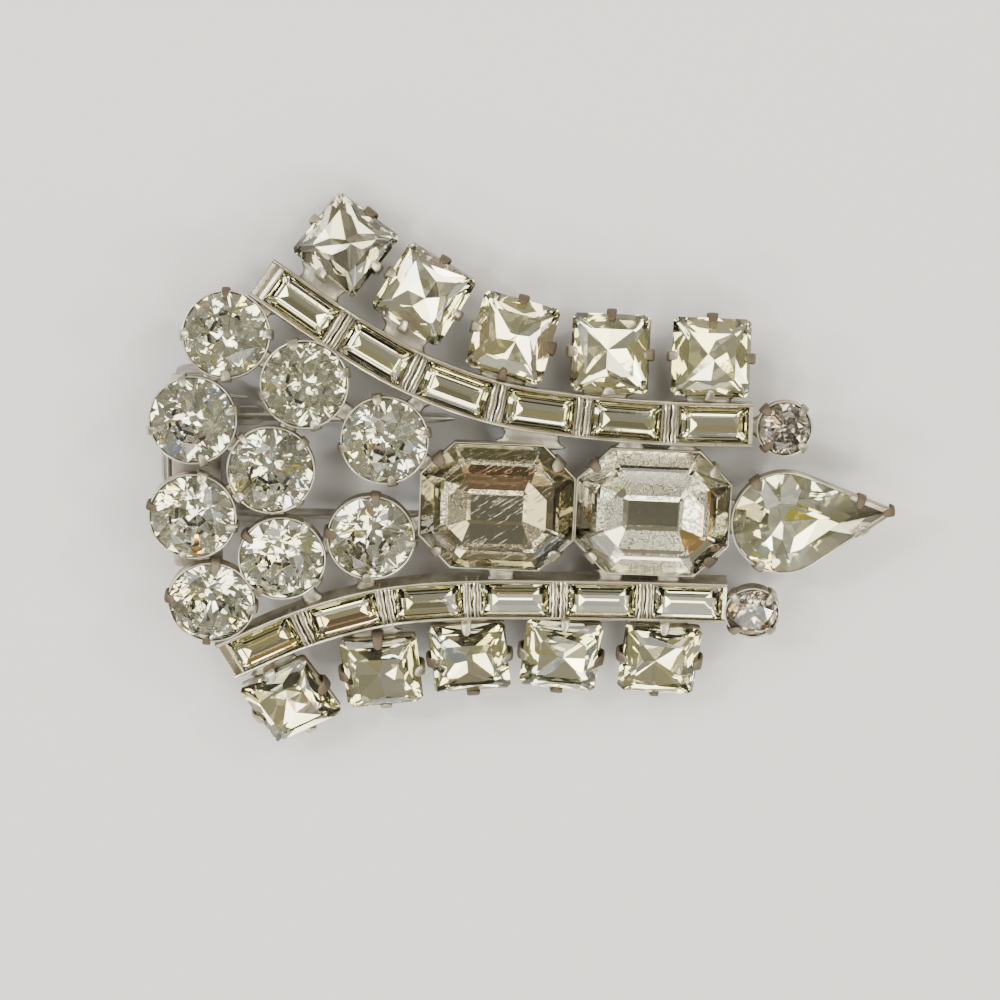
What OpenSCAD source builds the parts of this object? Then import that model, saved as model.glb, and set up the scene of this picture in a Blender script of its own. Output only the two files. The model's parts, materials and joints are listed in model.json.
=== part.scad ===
/* [Stones] */
// Girdle diameter of a round stone of the fan
round_d = 6.2; // [5:0.1:7]
// Crown height of a round stone
round_crown = 1.2; // [0.8:0.1:1.8]
// Depth of a round stone below its girdle
round_depth = 2.5; // [1.8:0.1:3.5]
// Side of a square stone
square_w = 5.7; // [4.8:0.1:6.4]
// Crown height of a square stone
square_crown = 1.3; // [0.8:0.1:1.8]
// Depth of a square stone below its girdle
square_depth = 2.4; // [1.8:0.1:3.5]
// Length of a baguette stone
baguette_l = 5; // [4:0.1:6]
// Width of a baguette stone
baguette_w = 2.5; // [2:0.1:3]
// Crown height of a baguette stone
baguette_crown = 0.7; // [0.4:0.1:1]
// Depth of a baguette stone below its girdle
baguette_depth = 1.2; // [0.8:0.1:1.8]
// Length of an octagon stone
octagon_l = 11.4; // [9:0.1:13]
// Width of an octagon stone
octagon_w = 9.5; // [8:0.1:10]
// Corner cut of an octagon stone, measured along its side
octagon_cut = 2.5; // [1.5:0.1:3.2]
// Crown height of an octagon stone
octagon_crown = 1.9; // [1.2:0.1:2.6]
// Depth of an octagon stone below its girdle
octagon_depth = 3.1; // [2.2:0.1:4]
// Width of the pear stone across its round end
pear_w = 7.3; // [6:0.1:8.5]
// Length of the pear stone from its round end to its point
pear_l = 11.65; // [10:0.05:14]
// Crown height of the pear stone
pear_crown = 1.5; // [1:0.1:2.2]
// Depth of the pear stone below its girdle
pear_depth = 2.8; // [2:0.1:3.6]
// Girdle diameter of a small round stone
small_d = 3.7; // [3:0.1:4.5]
// Crown height of a small round stone
small_crown = 0.8; // [0.5:0.1:1.2]
// Depth of a small round stone below its girdle
small_depth = 1.6; // [1:0.1:2.4]
// Thickness of the girdle of every stone
girdle_h = 0.2; // [0.1:0.05:0.4]

/* [Cups] */
// Clearance between a stone's girdle and its cup
stone_gap = 0.06; // [0.04:0.01:0.12]
// Wall of a cup
cup_wall = 0.25; // [0.2:0.05:0.4]
// Thickness of a cup's floor under the stone's point
cup_floor = 0.4; // [0.3:0.05:0.8]
// Height of a cup's rim over the girdle plane
rim_h = 0.2; // [0.1:0.05:0.4]
// Height of a cup's upright wall below the girdle plane
collar_h = 1.3; // [1:0.1:1.6]
// Space between neighbouring cups of the fan
cup_space = 0.28; // [0.1:0.02:0.6]

/* [Claws] */
// Width of a claw
claw_w = 0.8; // [0.5:0.1:1.2]
// Thickness of a claw
claw_t = 0.35; // [0.25:0.05:0.5]
// Reach of a claw over the edge of its stone
claw_lap = 0.5; // [0.3:0.05:0.8]
// Clearance between a claw and the crown under it
claw_gap = 0.08; // [0.05:0.01:0.15]
// Depth that a claw runs down its cup
claw_drop = 1.1; // [0.6:0.1:1.2]

/* [Channel bars] */
// Wall of a bar beside its stones
bar_wall = 0.4; // [0.25:0.05:0.6]
// Length of the spacer between two stones of a bar
spacer_l = 1.7; // [1.2:0.1:2.4]
// Height of the spacer's ribs over the girdle plane
rib_h = 0.45; // [0.2:0.05:0.6]
// Thickness of a rib, measured along the bar
rib_t = 0.4; // [0.25:0.05:0.6]

/* [Webs] */
// Width of a soldered web between two cups
web_w = 1.4; // [0.8:0.1:2]
// Thickness of a web
web_t = 0.7; // [0.5:0.1:1]
// Depth of a web's top below the girdle plane
web_top = 0.6; // [0.5:0.05:0.8]

/* [Face] */
// Radius of the dome that the stones lie on
dome_r = 50; // [40:1:120]
// Place of the first octagon of the middle row
row_place = [-2.04, 0.24]; // [-8:0.02:8]
// Place of the fan's middle stone
fan_place = [-19.4, 3.16]; // [-24:0.02:8]
// Place of the upper bar's baguette nearest to the pear
upper_place = [14.6, 6.67]; // [4:0.01:18]
// Place of the lower bar's baguette nearest to the pear
lower_place = [12.8, -7.59]; // [-12:0.01:18]
// Distance of the pear's round end from the second octagon's middle line
pear_side_step = -0.66; // [-2:0.02:2]

/* [Fork and hinge] */
// Diameter of the hinge pin
pin_d = 0.9; // [0.7:0.05:1.2]
// Running clearance around the pin
pin_gap = 0.08; // [0.05:0.01:0.15]
// Outer diameter of the fork's barrel
barrel_d = 2.2; // [1.9:0.1:2.6]
// Length of the hinge over its two ears
hinge_l = 15.4; // [13:0.1:17]
// Thickness of an ear and of the bracket's plate
ear_t = 0.7; // [0.5:0.1:1]
// Depth of the hinge's axis below the middle of the face
hinge_z = 6.2; // [5.8:0.1:6.8]
// Place of the hinge's middle on the face: it crosses behind the fan's third and fourth stones
hinge_place = [-25.7, 2.15]; // [-27:0.05:4]
// Width of the bracket's plate along the face
plate_l = 3.8; // [3:0.1:5]
// Distance of the plate's outer edge from the hinge's axis
plate_back = 1.6; // [1.4:0.1:2.4]
// Height of the plate over the barrel
plate_gap = 0.8; // [0.6:0.1:1.2]
// Diameter of a post between the plate and a cup
post_d = 2.4; // [1.6:0.1:3]
// Length of a post below its cup
post_l = 1; // [0.8:0.1:1.4]
// Allowance of the ears over the barrel's diameter, so that the barrel stays off the surface
ear_over = 0.3; // [0.2:0.1:0.6]
// Tilt of the thumb plate below the hinge, in degrees
thumb_tilt = 18; // [10:1:24]
// Diameter of a prong
prong_d = 0.85; // [0.7:0.05:1.2]
// Length of a prong from the hinge's axis to its tip
prong_l = 20.5; // [16:0.1:21.5]
// Distance between the two prongs
prong_pitch = 7.9; // [6:0.1:9]
// Rise of the prongs towards their tips, in degrees
prong_rise = 4; // [2:0.1:4.5]
// Thickness of the fork's sheet
sheet_t = 0.6; // [0.4:0.05:0.8]
// Length of the fork's tabs from the hinge's axis
tab_l = 5.6; // [4:0.1:7]
// Width of a tab
tab_w = 1.5; // [1.2:0.1:2.2]
// Length of the thumb plate from the hinge's axis
thumb_l = 2.7; // [2.2:0.1:3]
// Width of the thumb plate
thumb_w = 5.6; // [4:0.1:6]
// Wire of the hinge spring
spring_wire = 0.3; // [0.2:0.05:0.35]
// Turns of the hinge spring
spring_turns = 3.5; // [2.5:1:3.5]

/* [Resting pose] */
// Pitch of the clip as it lies, about the line across it
lie_pitch = 3.7; // [0:0.05:8]
// Roll of the clip as it lies, about the line along it
lie_roll = 2.05; // [-4:0.05:4]
// Place of the middle of the face over the surface
lie_place = [0.33, -2.04, 5.98];

/* [Hidden] */
GLASS = "whitesmoke";
STRAW = "beige";
METAL = "silver";
STEEL = "gainsboro";
ROUNDS = [for (i = [1:9]) str("round_stone_", i)];
SQUARES = [for (i = [1:10]) str("square_stone_", i)];
BAGUETTES = [for (i = [1:12]) str("baguette_", i)];
OCTAGONS = [for (i = [1:2]) str("octagon_stone_", i)];
SMALLS = [for (i = [1:2]) str("small_round_", i)];
$fn = 32;

// Shares of a stone's half width that its table and its foot keep
round_table = 0.58;
step_table = 0.6;
foot_share = 0.12;
// Share of a cup's outline that its foot keeps, and that the pocket's foot keeps
cup_foot = 0.55;
pocket_foot = 0.25;
girdle_sides = 16;
bite = 0.3;
cup_grow = 2 * (stone_gap + cup_wall);
bar_w = baguette_w + 2 * (stone_gap + bar_wall);
bar_depth = baguette_depth + cup_floor;
bar_pitch = baguette_l + spacer_l;
round_pitch = round_d + cup_grow + cup_space;

// Points and plans. A place is [distance along the face, distance across the dome, turn].
function polar(r, a) = r * [cos(a), sin(a)];
function disc(d, sides) = [for (k = [0:sides - 1]) polar(d / 2, 360 * k / sides)];
function cut_plan(l, w, cut) = [
    [l / 2, w / 2 - cut], [l / 2 - cut, w / 2], [cut - l / 2, w / 2], [-l / 2, w / 2 - cut],
    [-l / 2, cut - w / 2], [cut - l / 2, -w / 2], [l / 2 - cut, -w / 2], [l / 2, cut - w / 2]];
// A round end about the origin, with straight sides that meet at the point
function pear_reach(w, l) = l - w / 2;
function pear_side(w, l) = acos(w / 2 / pear_reach(w, l));
function pear_plan(w, l, steps = 14) = let (a = pear_side(w, l))
    concat([[pear_reach(w, l), 0]], [for (k = [0:steps]) polar(w / 2, a + k * (360 - 2 * a) / steps)]);
function grown(plan, share) = [for (p = plan) p * share];
function ring(plan, z) = [for (p = plan) [p.x, p.y, z]];

// Fan of round stones: the earlier stone that each one lies beside, the way to it, slack, claw turn
FROM = 0;
WAY = 1;
SLACK = 2;
CLAWS = 3;
fan = [[0, 0, 0, 40], [0, 68.5, 0, 15], [0, 147, 0, 14], [0, 211, 0, 75], [0, 276, 0, 55],
    [1, 147.4, 0, 0], [1, -35, 0.4, 10], [4, 13.8, 0, -7], [3, 280.2, 0.1, -8]];
function fan_at(i) = i == 0 ? fan_place
    : fan_at(fan[i][FROM]) + polar(round_pitch + fan[i][SLACK], fan[i][WAY]);

// Channel bars: the first stone's place at the pear's end, then the heading of each stone
UPPER = 0;
LOWER = 1;
bar_start = [upper_place, lower_place];
bar_headings = [[-1, -4.4, -8, -20, -30.5, -35], [-1.8, -1, -0.4, 4, 16.5, 27]];
bar_cap = [0.9, 0.6];
bar_count = 6;
// The small round stone past each bar's end: its distance past the last wall, and the way to it
small_space = [0.45, 0.1];
small_way = [-3.2, -10];
function turn_at(bar, t) = let (h = bar_headings[bar], i = min(floor(t), bar_count - 2))
    h[i] + (t - i) * (h[i + 1] - h[i]);
function bar_at(bar, i) = i == 0 ? bar_start[bar]
    : bar_at(bar, i - 1) - polar(bar_pitch, turn_at(bar, i - 0.5));
function bar_point(bar, t) = let (i = min(floor(t), bar_count - 2))
    bar_at(bar, i) + (t - i) * (bar_at(bar, i + 1) - bar_at(bar, i));

// Squares along the outer side of each bar: place along it in stones, space from it, own twist
ALONG = 0;
SPACE = 1;
TWIST = 2;
square_rows = [
    [[0.05, 0.3, -1], [1.26, 0.15, 2.7], [2.5, 0.12, -1.5], [3.84, 0.8, -2.5], [5, 0.95, -3]],
    [[0.3, 0.12, -5], [1.46, -0.05, -5.5], [2.56, 0.12, 3], [3.76, 0.5, -8], [5.13, 0.75, 1.5]]];
function row_side(bar) = bar == UPPER ? 90 : -90;
function square_at(bar, i) = let (row = square_rows[bar][i], turn = turn_at(bar, row[ALONG]))
    concat(bar_point(bar, row[ALONG]) + polar(
        bar_w / 2 + row[SPACE] + square_w / 2 + cup_grow / 2, turn + row_side(bar)),
        [turn + row[TWIST]]);

// Middle row: two octagons side by side, then the pear
row_turn = -2.3;
pear_turn = 5.3;
octagon_pitch = octagon_l + cup_grow;
function octagon_at(i) = row_place + polar(i * octagon_pitch, row_turn);
pear_place = octagon_at(1) + [(octagon_l + pear_w) / 2 + cup_grow, pear_side_step];
function small_at(bar) = bar_at(bar, 0) + polar(
    baguette_l / 2 + stone_gap + cup_wall + small_space[bar] + small_d / 2 + cup_grow / 2,
    small_way[bar]);

// Carries its children from the middle of the face to a place on the dome
module at(place, turn = 0) {
    translate([place.x, 0, -dome_r]) rotate([-place.y / dome_r * 180 / PI, 0, 0])
        translate([0, 0, dome_r]) rotate([0, 0, turn]) children();
}

// Carries the whole clip from its own face to the surface that it lies on
module lying() {
    translate(lie_place) rotate([lie_roll, lie_pitch, 0]) children();
}

// A cut stone: table, crown, girdle and pointed back
module cut_stone(table, girdle, foot, crown, depth) {
    points = concat(ring(table, crown), ring(girdle, girdle_h / 2), ring(girdle, -girdle_h / 2),
        ring(foot, -depth));
    hull() polyhedron(points, [[for (k = [0:len(points) - 1]) k]]);
}

module round_cut(d, crown, depth, table_sides = 8) {
    cut_stone(disc(d * round_table, table_sides), disc(d, girdle_sides),
        disc(d * foot_share, table_sides), crown, depth);
}

module step_cut(l, w, cut, crown, depth) {
    inset = w * (1 - step_table);
    keel = w * (1 - foot_share);
    cut_stone(cut_plan(l - inset, w - inset, cut * 0.7), cut_plan(l, w, cut),
        cut_plan(l - keel, w - keel, w * foot_share * 0.3), crown, depth);
}

module pear_cut() {
    cut_stone(grown(pear_plan(pear_w, pear_l, 8), step_table), pear_plan(pear_w, pear_l),
        grown(pear_plan(pear_w, pear_l, 8), foot_share), pear_crown, pear_depth);
}

module round_stone(i) {
    color(GLASS) lying() at(fan_at(i), fan[i][CLAWS]) round_cut(round_d, round_crown, round_depth);
}

module square_stone(bar, i) {
    place = square_at(bar, i);
    color(STRAW) lying() at(place, place.z)
        step_cut(square_w, square_w, square_w * 0.12, square_crown, square_depth);
}

module baguette(bar, i) {
    color(STRAW) lying() at(bar_at(bar, i), bar_headings[bar][i])
        step_cut(baguette_l, baguette_w, baguette_w * 0.06, baguette_crown, baguette_depth);
}

module octagon_stone(i) {
    color(GLASS) lying() at(octagon_at(i), row_turn)
        step_cut(octagon_l, octagon_w, octagon_cut, octagon_crown, octagon_depth);
}

module pear_stone() {
    color(GLASS) lying() at(pear_place, pear_turn) pear_cut();
}

module small_round(bar) {
    color(GLASS) lying() at(small_at(bar), 45) round_cut(small_d, small_crown, small_depth);
}

// One claw at a stone's edge: it leads inwards over a crown that rises by rise in run
module claw(rise, run, w = claw_w) {
    slope = rise / run;
    over = girdle_h / 2 + claw_gap * sqrt(1 + slope * slope);
    tip = over + slope * claw_lap;
    outside = stone_gap + cup_wall + claw_t;
    rotate([90, 0, 0]) linear_extrude(w, center = true) polygon([
        [stone_gap + cup_wall / 2, -claw_drop], [outside, claw_t - claw_drop], [outside, 0],
        [-claw_lap, tip + claw_t], [-claw_lap, tip], [stone_gap, over]]);
}

// A round cup: upright at the girdle, tapering to its foot, with a pocket that fits the stone
module round_cup(d, depth) {
    r = d / 2 + stone_gap;
    outer = r + cup_wall;
    low = depth + cup_floor;
    rotate_extrude() polygon([
        [0, -low], [outer * cup_foot, -low], [outer, -collar_h], [outer, rim_h], [r, rim_h],
        [r, -girdle_h], [r * pocket_foot, -depth - stone_gap], [0, -depth - stone_gap]]);
}

// A cup of any other plan, given as its child grown by the wall, over a pocket of its own
module cup(plan, outer, depth) {
    low = depth + cup_floor;
    difference() {
        union() {
            translate([0, 0, -collar_h]) linear_extrude(collar_h + rim_h) polygon(outer);
            translate([0, 0, -collar_h]) mirror([0, 0, 1])
                linear_extrude(low - collar_h, scale = cup_foot) polygon(outer);
        }
        translate([0, 0, -girdle_h]) linear_extrude(girdle_h + 2 * rim_h) polygon(plan);
        translate([0, 0, -girdle_h]) mirror([0, 0, 1])
            linear_extrude(depth + stone_gap - girdle_h, scale = pocket_foot) polygon(plan);
    }
}

module cut_cup(l, w, cut, depth) {
    cup(cut_plan(l + 2 * stone_gap, w + 2 * stone_gap, cut), cut_plan(l + cup_grow, w + cup_grow, cut),
        depth);
}

module four_claws(reach, rise, run) {
    for (a = [0:90:270]) rotate([0, 0, a]) translate([reach, 0, 0]) claw(rise, run);
}

module round_seat(i) {
    at(fan_at(i), fan[i][CLAWS]) {
        round_cup(round_d, round_depth);
        four_claws(round_d / 2, round_crown, round_d / 2 * (1 - round_table));
    }
}

module square_seat(bar, i) {
    place = square_at(bar, i);
    at(place, place.z) {
        cut_cup(square_w, square_w, square_w * 0.12, square_depth);
        four_claws(square_w / 2, square_crown, square_w / 2 * (1 - step_table));
    }
}

module octagon_seat(i) {
    at(octagon_at(i), row_turn) {
        cut_cup(octagon_l, octagon_w, octagon_cut, octagon_depth);
        for (x = [0, 1], y = [0, 1]) mirror([x, 0, 0]) mirror([0, y, 0])
            translate([(octagon_l - octagon_cut) / 2, (octagon_w - octagon_cut) / 2, 0])
                rotate([0, 0, 45]) claw(octagon_crown, octagon_w / 2 * (1 - step_table));
    }
}

module pear_seat() {
    share = 1 + 2 * stone_gap / pear_w;
    run = pear_w / 2 * (1 - step_table);
    side = pear_side(pear_w, pear_l);
    point = pear_reach(pear_w, pear_l);
    at(pear_place, pear_turn) {
        cup(grown(pear_plan(pear_w, pear_l), share),
            grown(pear_plan(pear_w, pear_l), 1 + cup_grow / pear_w), pear_depth);
        for (a = [118, 235]) rotate([0, 0, a]) translate([pear_w / 2, 0, 0]) claw(pear_crown, run);
        for (a = [side, -side]) translate([point * 0.66, 0, 0]) rotate([0, 0, a])
            translate([pear_w / 2 * 0.34, 0, 0]) claw(pear_crown, run);
        translate([point, 0, 0]) claw(pear_crown, run * point / pear_w * 2, claw_w * 1.4);
    }
}

module small_seat(bar) {
    at(small_at(bar), 45) {
        round_cup(small_d, small_depth);
        four_claws(small_d / 2, small_crown, small_d / 2 * (1 - round_table));
    }
}

module block(l, w, low, high) {
    translate([-l / 2, -w / 2, low]) cube([l, w, high - low]);
}

// One stone's length of a channel bar
module bar_cell() {
    l = baguette_l + 2 * stone_gap;
    w = baguette_w + 2 * stone_gap;
    difference() {
        block(l + 2 * cup_wall, bar_w, -bar_depth, rim_h);
        block(l, w, -baguette_depth - stone_gap, 2 * rim_h);
    }
}

module channel_bar(bar) {
    cell_l = baguette_l + 2 * (stone_gap + cup_wall);
    between = bar_pitch - cell_l;
    for (i = [0:bar_count - 1]) at(bar_at(bar, i), bar_headings[bar][i]) bar_cell();
    for (i = [1:bar_count - 1]) at(bar_point(bar, i - 0.5), turn_at(bar, i - 0.5)) {
        block(between + cup_wall, bar_w - cup_wall, bite - bar_depth, 0);
        for (x = [-1, 1]) translate([x * (between / 2 - rib_t / 2), 0, 0])
            block(rib_t, bar_w - cup_wall / 2, -collar_h, rib_h);
    }
    at(bar_at(bar, bar_count - 1), bar_headings[bar][bar_count - 1])
        translate([-(cell_l + bar_cap[bar]) / 2, 0, 0])
            block(bar_cap[bar] + cup_wall, bar_w - cup_wall, bite - bar_depth, rim_h / 2);
}

// Webs of the fan: pairs of its stones, and its stones with a bar and a place along that bar
fan_pairs = [[0, 1], [0, 2], [0, 3], [0, 4], [1, 5], [2, 5], [1, 6], [4, 7], [3, 8], [4, 8]];
fan_webs = [[5, UPPER, 4.9], [1, UPPER, 4.1], [6, UPPER, 3.3], [8, LOWER, 5.1], [4, LOWER, 4.6],
    [7, LOWER, 3.3]];
// Places along each bar, in stones, of the webs that lead to the middle row
row_webs = [2.35, 1.65, 0.85, 0.35];

// A soldered web from one place to another, trimmed by the reach of the cup at each end
module web(p, q, reach_p, reach_q, w = web_w) {
    way = q - p;
    run = norm(way);
    unit = way / run;
    low = p + unit * (reach_p - bite);
    high = q - unit * (reach_q - bite);
    at((low + high) / 2, atan2(way.y, way.x)) block(norm(high - low), w, -web_top - web_t, -web_top);
}

module webs() {
    r = (round_d + cup_grow) / 2;
    half = bar_w / 2;
    side = (square_w + cup_grow) / 2;
    eye = (small_d + cup_grow) / 2;
    top = (octagon_w + cup_grow) / 2;
    for (pair = fan_pairs)
        web(fan_at(pair[0]), fan_at(pair[1]), r, r);
    for (bar = [UPPER, LOWER]) {
        for (i = [0:len(square_rows[bar]) - 1]) let (place = square_at(bar, i))
            web(bar_point(bar, square_rows[bar][i][ALONG]), [place.x, place.y], half, side, 2 * web_w);
        web(bar_at(bar, 0), small_at(bar), baguette_l / 2 + cup_wall, eye);
        for (t = row_webs) let (p = bar_point(bar, t), way = turn_at(bar, t) - row_side(bar))
            web(p, p + polar(half + top / 4, way), half, 0, web_w);
    }
    for (link = fan_webs)
        web(fan_at(link[0]), bar_point(link[1], link[2]), r, half);
    for (i = [6, 7]) web(fan_at(i), octagon_at(0), r, octagon_l / 2 + cup_grow / 2);
    web(octagon_at(0), octagon_at(1), octagon_l / 2, octagon_l / 2, 3 * web_w);
    web(octagon_at(1), pear_place, octagon_l / 2, pear_w / 2, 2 * web_w);
}

// The hinge bracket behind the fan: a plate on two solder posts, and an ear at each end
module bracket() {
    mid = hinge_place.y;
    ear_d = barrel_d + ear_over;
    plate_z = -hinge_z + barrel_d / 2 + plate_gap;
    for (i = [2, 3]) at(fan_at(i))
        translate([0, 0, -round_depth - cup_floor - post_l])
            cylinder(d = post_d, h = post_l + cup_floor / 2);
    difference() {
        union() {
            translate([hinge_place.x - plate_back, mid - hinge_l / 2, plate_z])
                cube([plate_l, hinge_l, ear_t]);
            for (y = [0, hinge_l - ear_t]) translate([hinge_place.x, mid - hinge_l / 2 + y, 0]) {
                translate([-ear_d / 2, 0, -hinge_z]) cube([ear_d, ear_t, plate_z + hinge_z + 0.2]);
                translate([0, ear_t, -hinge_z]) rotate([90, 0, 0]) cylinder(d = ear_d, h = ear_t);
            }
        }
        translate([hinge_place.x, mid + hinge_l, -hinge_z]) rotate([90, 0, 0])
            cylinder(d = pin_d + pin_gap, h = 2 * hinge_l);
    }
}

module setting() {
    color(METAL) lying() {
        for (i = [0:len(fan) - 1]) round_seat(i);
        for (bar = [UPPER, LOWER]) {
            for (i = [0:len(square_rows[bar]) - 1]) square_seat(bar, i);
            channel_bar(bar);
            small_seat(bar);
        }
        for (i = [0, 1]) octagon_seat(i);
        pear_seat();
        webs();
        bracket();
    }
}

wire_x = tab_l - bite / 2;
spring_l = (spring_turns + 1) * spring_wire * 1.2;
barrel_l = hinge_l - 2 * ear_t - spring_l - 3 * pin_gap;
barrel_y = -hinge_l / 2 + ear_t + pin_gap;

module hinge_frame() {
    translate([hinge_place.x, hinge_place.y, -hinge_z]) children();
}

module along_hinge(y, l) {
    translate([0, y + l, 0]) rotate([90, 0, 0]) linear_extrude(l) children();
}

module hinge_pin() {
    color(STEEL) lying() hinge_frame()
        translate([0, hinge_l / 2, 0]) rotate([90, 0, 0]) cylinder(d = pin_d, h = hinge_l);
}

// The fork at rest: its barrel turns on the pin, and its prongs lie close behind the face.
// Each prong's wire leaves the round end of its tab.
module fork() {
    color(STEEL) lying() hinge_frame() difference() {
        union() {
            along_hinge(barrel_y, barrel_l) circle(d = barrel_d);
            rotate([0, -prong_rise, 0]) for (y = [-prong_pitch / 2, prong_pitch / 2]) translate([0, y, 0]) {
                translate([0, -tab_w / 2, -sheet_t / 2]) cube([tab_l - tab_w / 2, tab_w, sheet_t]);
                translate([tab_l - tab_w / 2, 0, -sheet_t / 2]) cylinder(d = tab_w, h = sheet_t);
                translate([wire_x, 0, 0]) rotate([0, 90, 0])
                    cylinder(d = prong_d, h = prong_l - wire_x - 2 * prong_d);
                translate([prong_l - 2 * prong_d, 0, 0]) rotate([0, 90, 0])
                    cylinder(d1 = prong_d, d2 = prong_d / 3, h = 2 * prong_d);
            }
            rotate([0, thumb_tilt, 0]) intersection() {
                translate([-thumb_l, -thumb_w / 2, -sheet_t / 2]) cube([thumb_l, thumb_w, sheet_t]);
                translate([thumb_w / 2 - thumb_l, 0, -sheet_t]) cylinder(d = thumb_w * 1.3, h = 2 * sheet_t);
            }
        }
        along_hinge(-hinge_l, 2 * hinge_l) circle(d = pin_d + 2 * pin_gap);
    }
}

// The spring's wire: turns on the pin between the barrel and the ear, then a leg along the tab
spring_r = pin_d / 2 + pin_gap + spring_wire / 2;
spring_y = barrel_y + barrel_l + pin_gap + spring_wire;
leg_z = barrel_d / 2 - spring_wire;
function spring_turn(a) = [-spring_r * sin(a), spring_y + a / 360 * spring_wire * 1.2, spring_r * cos(a)];
spring_path = concat(
    [[tab_l * 0.75, spring_y - 0.2, spring_r - 0.1], [tab_l * 0.4, spring_y, spring_r]],
    [for (a = [0:30:spring_turns * 360]) spring_turn(a)]);

module wire(path, d, sides = 6) {
    points = [for (i = [0:len(path) - 1]) let (
        way = path[min(i + 1, len(path) - 1)] - path[max(i - 1, 0)],
        side = cross(way, [0, 1, 0]) / norm(cross(way, [0, 1, 0])),
        up = cross(side, way) / norm(way))
        for (k = [0:sides - 1]) path[i] + d / 2 * (cos(360 * k / sides) * side + sin(360 * k / sides) * up)];
    last = (len(path) - 1) * sides;
    faces = concat([[for (k = [0:sides - 1]) k]], [[for (k = [sides - 1:-1:0]) last + k]],
        [for (i = [0:len(path) - 2], k = [0:sides - 1]) let (a = i * sides + k, b = i * sides + (k + 1) % sides)
            [a, a + sides, b + sides, b]]);
    polyhedron(points, faces, convexity = 8);
}

module hinge_spring() {
    color(STEEL) lying() hinge_frame() wire(spring_path, spring_wire);
}

for (i = [0:len(ROUNDS) - 1]) round_stone(i);
for (i = [0:len(SQUARES) - 1]) square_stone(floor(i / 5), i % 5);
for (i = [0:len(BAGUETTES) - 1])
    baguette(floor(i / bar_count), i % bar_count);
for (i = [0:len(OCTAGONS) - 1]) octagon_stone(i);
for (i = [0:len(SMALLS) - 1]) small_round(i);
pear_stone();
setting();
hinge_pin();
fork();
hinge_spring();
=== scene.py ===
"""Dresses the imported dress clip: cut stones with foiled backs, the soldered setting and the sprung fork."""

import json
import math
import random

import bmesh
import bpy
from mathutils import Matrix, Vector


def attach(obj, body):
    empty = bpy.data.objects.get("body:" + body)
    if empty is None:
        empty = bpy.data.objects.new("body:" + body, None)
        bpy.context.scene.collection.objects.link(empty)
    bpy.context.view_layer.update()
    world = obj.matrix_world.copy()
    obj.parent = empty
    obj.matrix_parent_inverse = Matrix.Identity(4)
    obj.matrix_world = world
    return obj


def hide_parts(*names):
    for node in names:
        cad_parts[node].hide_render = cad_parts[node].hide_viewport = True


bl_info = {
    "name": "Dress Clip",
    "version": (1, 0, 0),
    "blender": (4, 5, 0),
    "location": "View3D > Sidebar > Dress Clip",
    "description": "Cut stones, soldered setting and sprung fork of a dress clip",
    "category": "Object",
}

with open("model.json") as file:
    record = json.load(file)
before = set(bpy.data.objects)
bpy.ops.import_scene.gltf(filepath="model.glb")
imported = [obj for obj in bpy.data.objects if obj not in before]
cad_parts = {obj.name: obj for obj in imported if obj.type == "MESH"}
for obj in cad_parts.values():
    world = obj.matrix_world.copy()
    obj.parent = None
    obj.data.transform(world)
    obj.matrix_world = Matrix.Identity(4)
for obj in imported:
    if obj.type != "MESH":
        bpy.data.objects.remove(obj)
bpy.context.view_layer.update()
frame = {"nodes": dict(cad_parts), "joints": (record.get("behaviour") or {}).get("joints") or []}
MM = 0.001
# The dressed stones are this much larger all round than the plain ones, in mm, so that only a thin rim
# of metal shows
SWELL = 0.15
# Half the thickness of a stone's girdle, in mm
GIRDLE = 0.1
# Cut of the octagons' corners, in mm
OCTAGON_CUT = 2.5

# The stones, by the names of their nodes, and what fixes each kind's place in the setting
ROUNDS = [f"round_stone_{i}" for i in range(1, 10)]
SQUARES = [f"square_stone_{i}" for i in range(1, 11)]
BAGUETTES = [f"baguette_{i}" for i in range(1, 13)]
OCTAGONS = ["octagon_stone_1", "octagon_stone_2"]
SMALLS = ["small_round_1", "small_round_2"]
PEAR = "pear_stone"
BARS = (BAGUETTES[:6], BAGUETTES[6:])
# Turn of each round stone's claws, in degrees
CLAW_TURNS = dict(zip(ROUNDS, (40, 15, 14, 75, 55, 0, 10, -7, -8)))
SMALL_TURN = 45
# Where the seeds of each group's draws start; the pieces of a group add their own numbers
SEEDS = {"small_rounds": 20, "squares": 30, "baguettes": 50, "octagons": 70, "pear": 80, "cups": 200,
         "claws": 300, "bars": 400, "ribs": 420, "bracket": 500, "pin": 510, "fork": 520, "spring": 530}


# Shader expressions

class Value:
    """A shader socket that adds Math nodes when Python's operators are used on it."""

    def __init__(self, shader, socket):
        self.shader = shader
        self.socket = socket

    def math(self, operation, *terms):
        return self.shader.add("ShaderNodeMath", {"operation": operation}, dict(enumerate(terms)))

    def __add__(self, other):
        return self.math("ADD", self, other)

    def __sub__(self, other):
        return self.math("SUBTRACT", self, other)

    def __rsub__(self, other):
        return self.math("SUBTRACT", other, self)

    def __mul__(self, other):
        return self.math("MULTIPLY", self, other)

    __radd__ = __add__
    __rmul__ = __mul__

    def above(self, edge, softness):
        """0 below the edge and 1 above it, over a soft step."""
        return self.shader.add(
            "ShaderNodeMapRange", {"interpolation_type": "SMOOTHSTEP"},
            {"Value": self, "From Min": edge - softness, "From Max": edge + softness})


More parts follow.
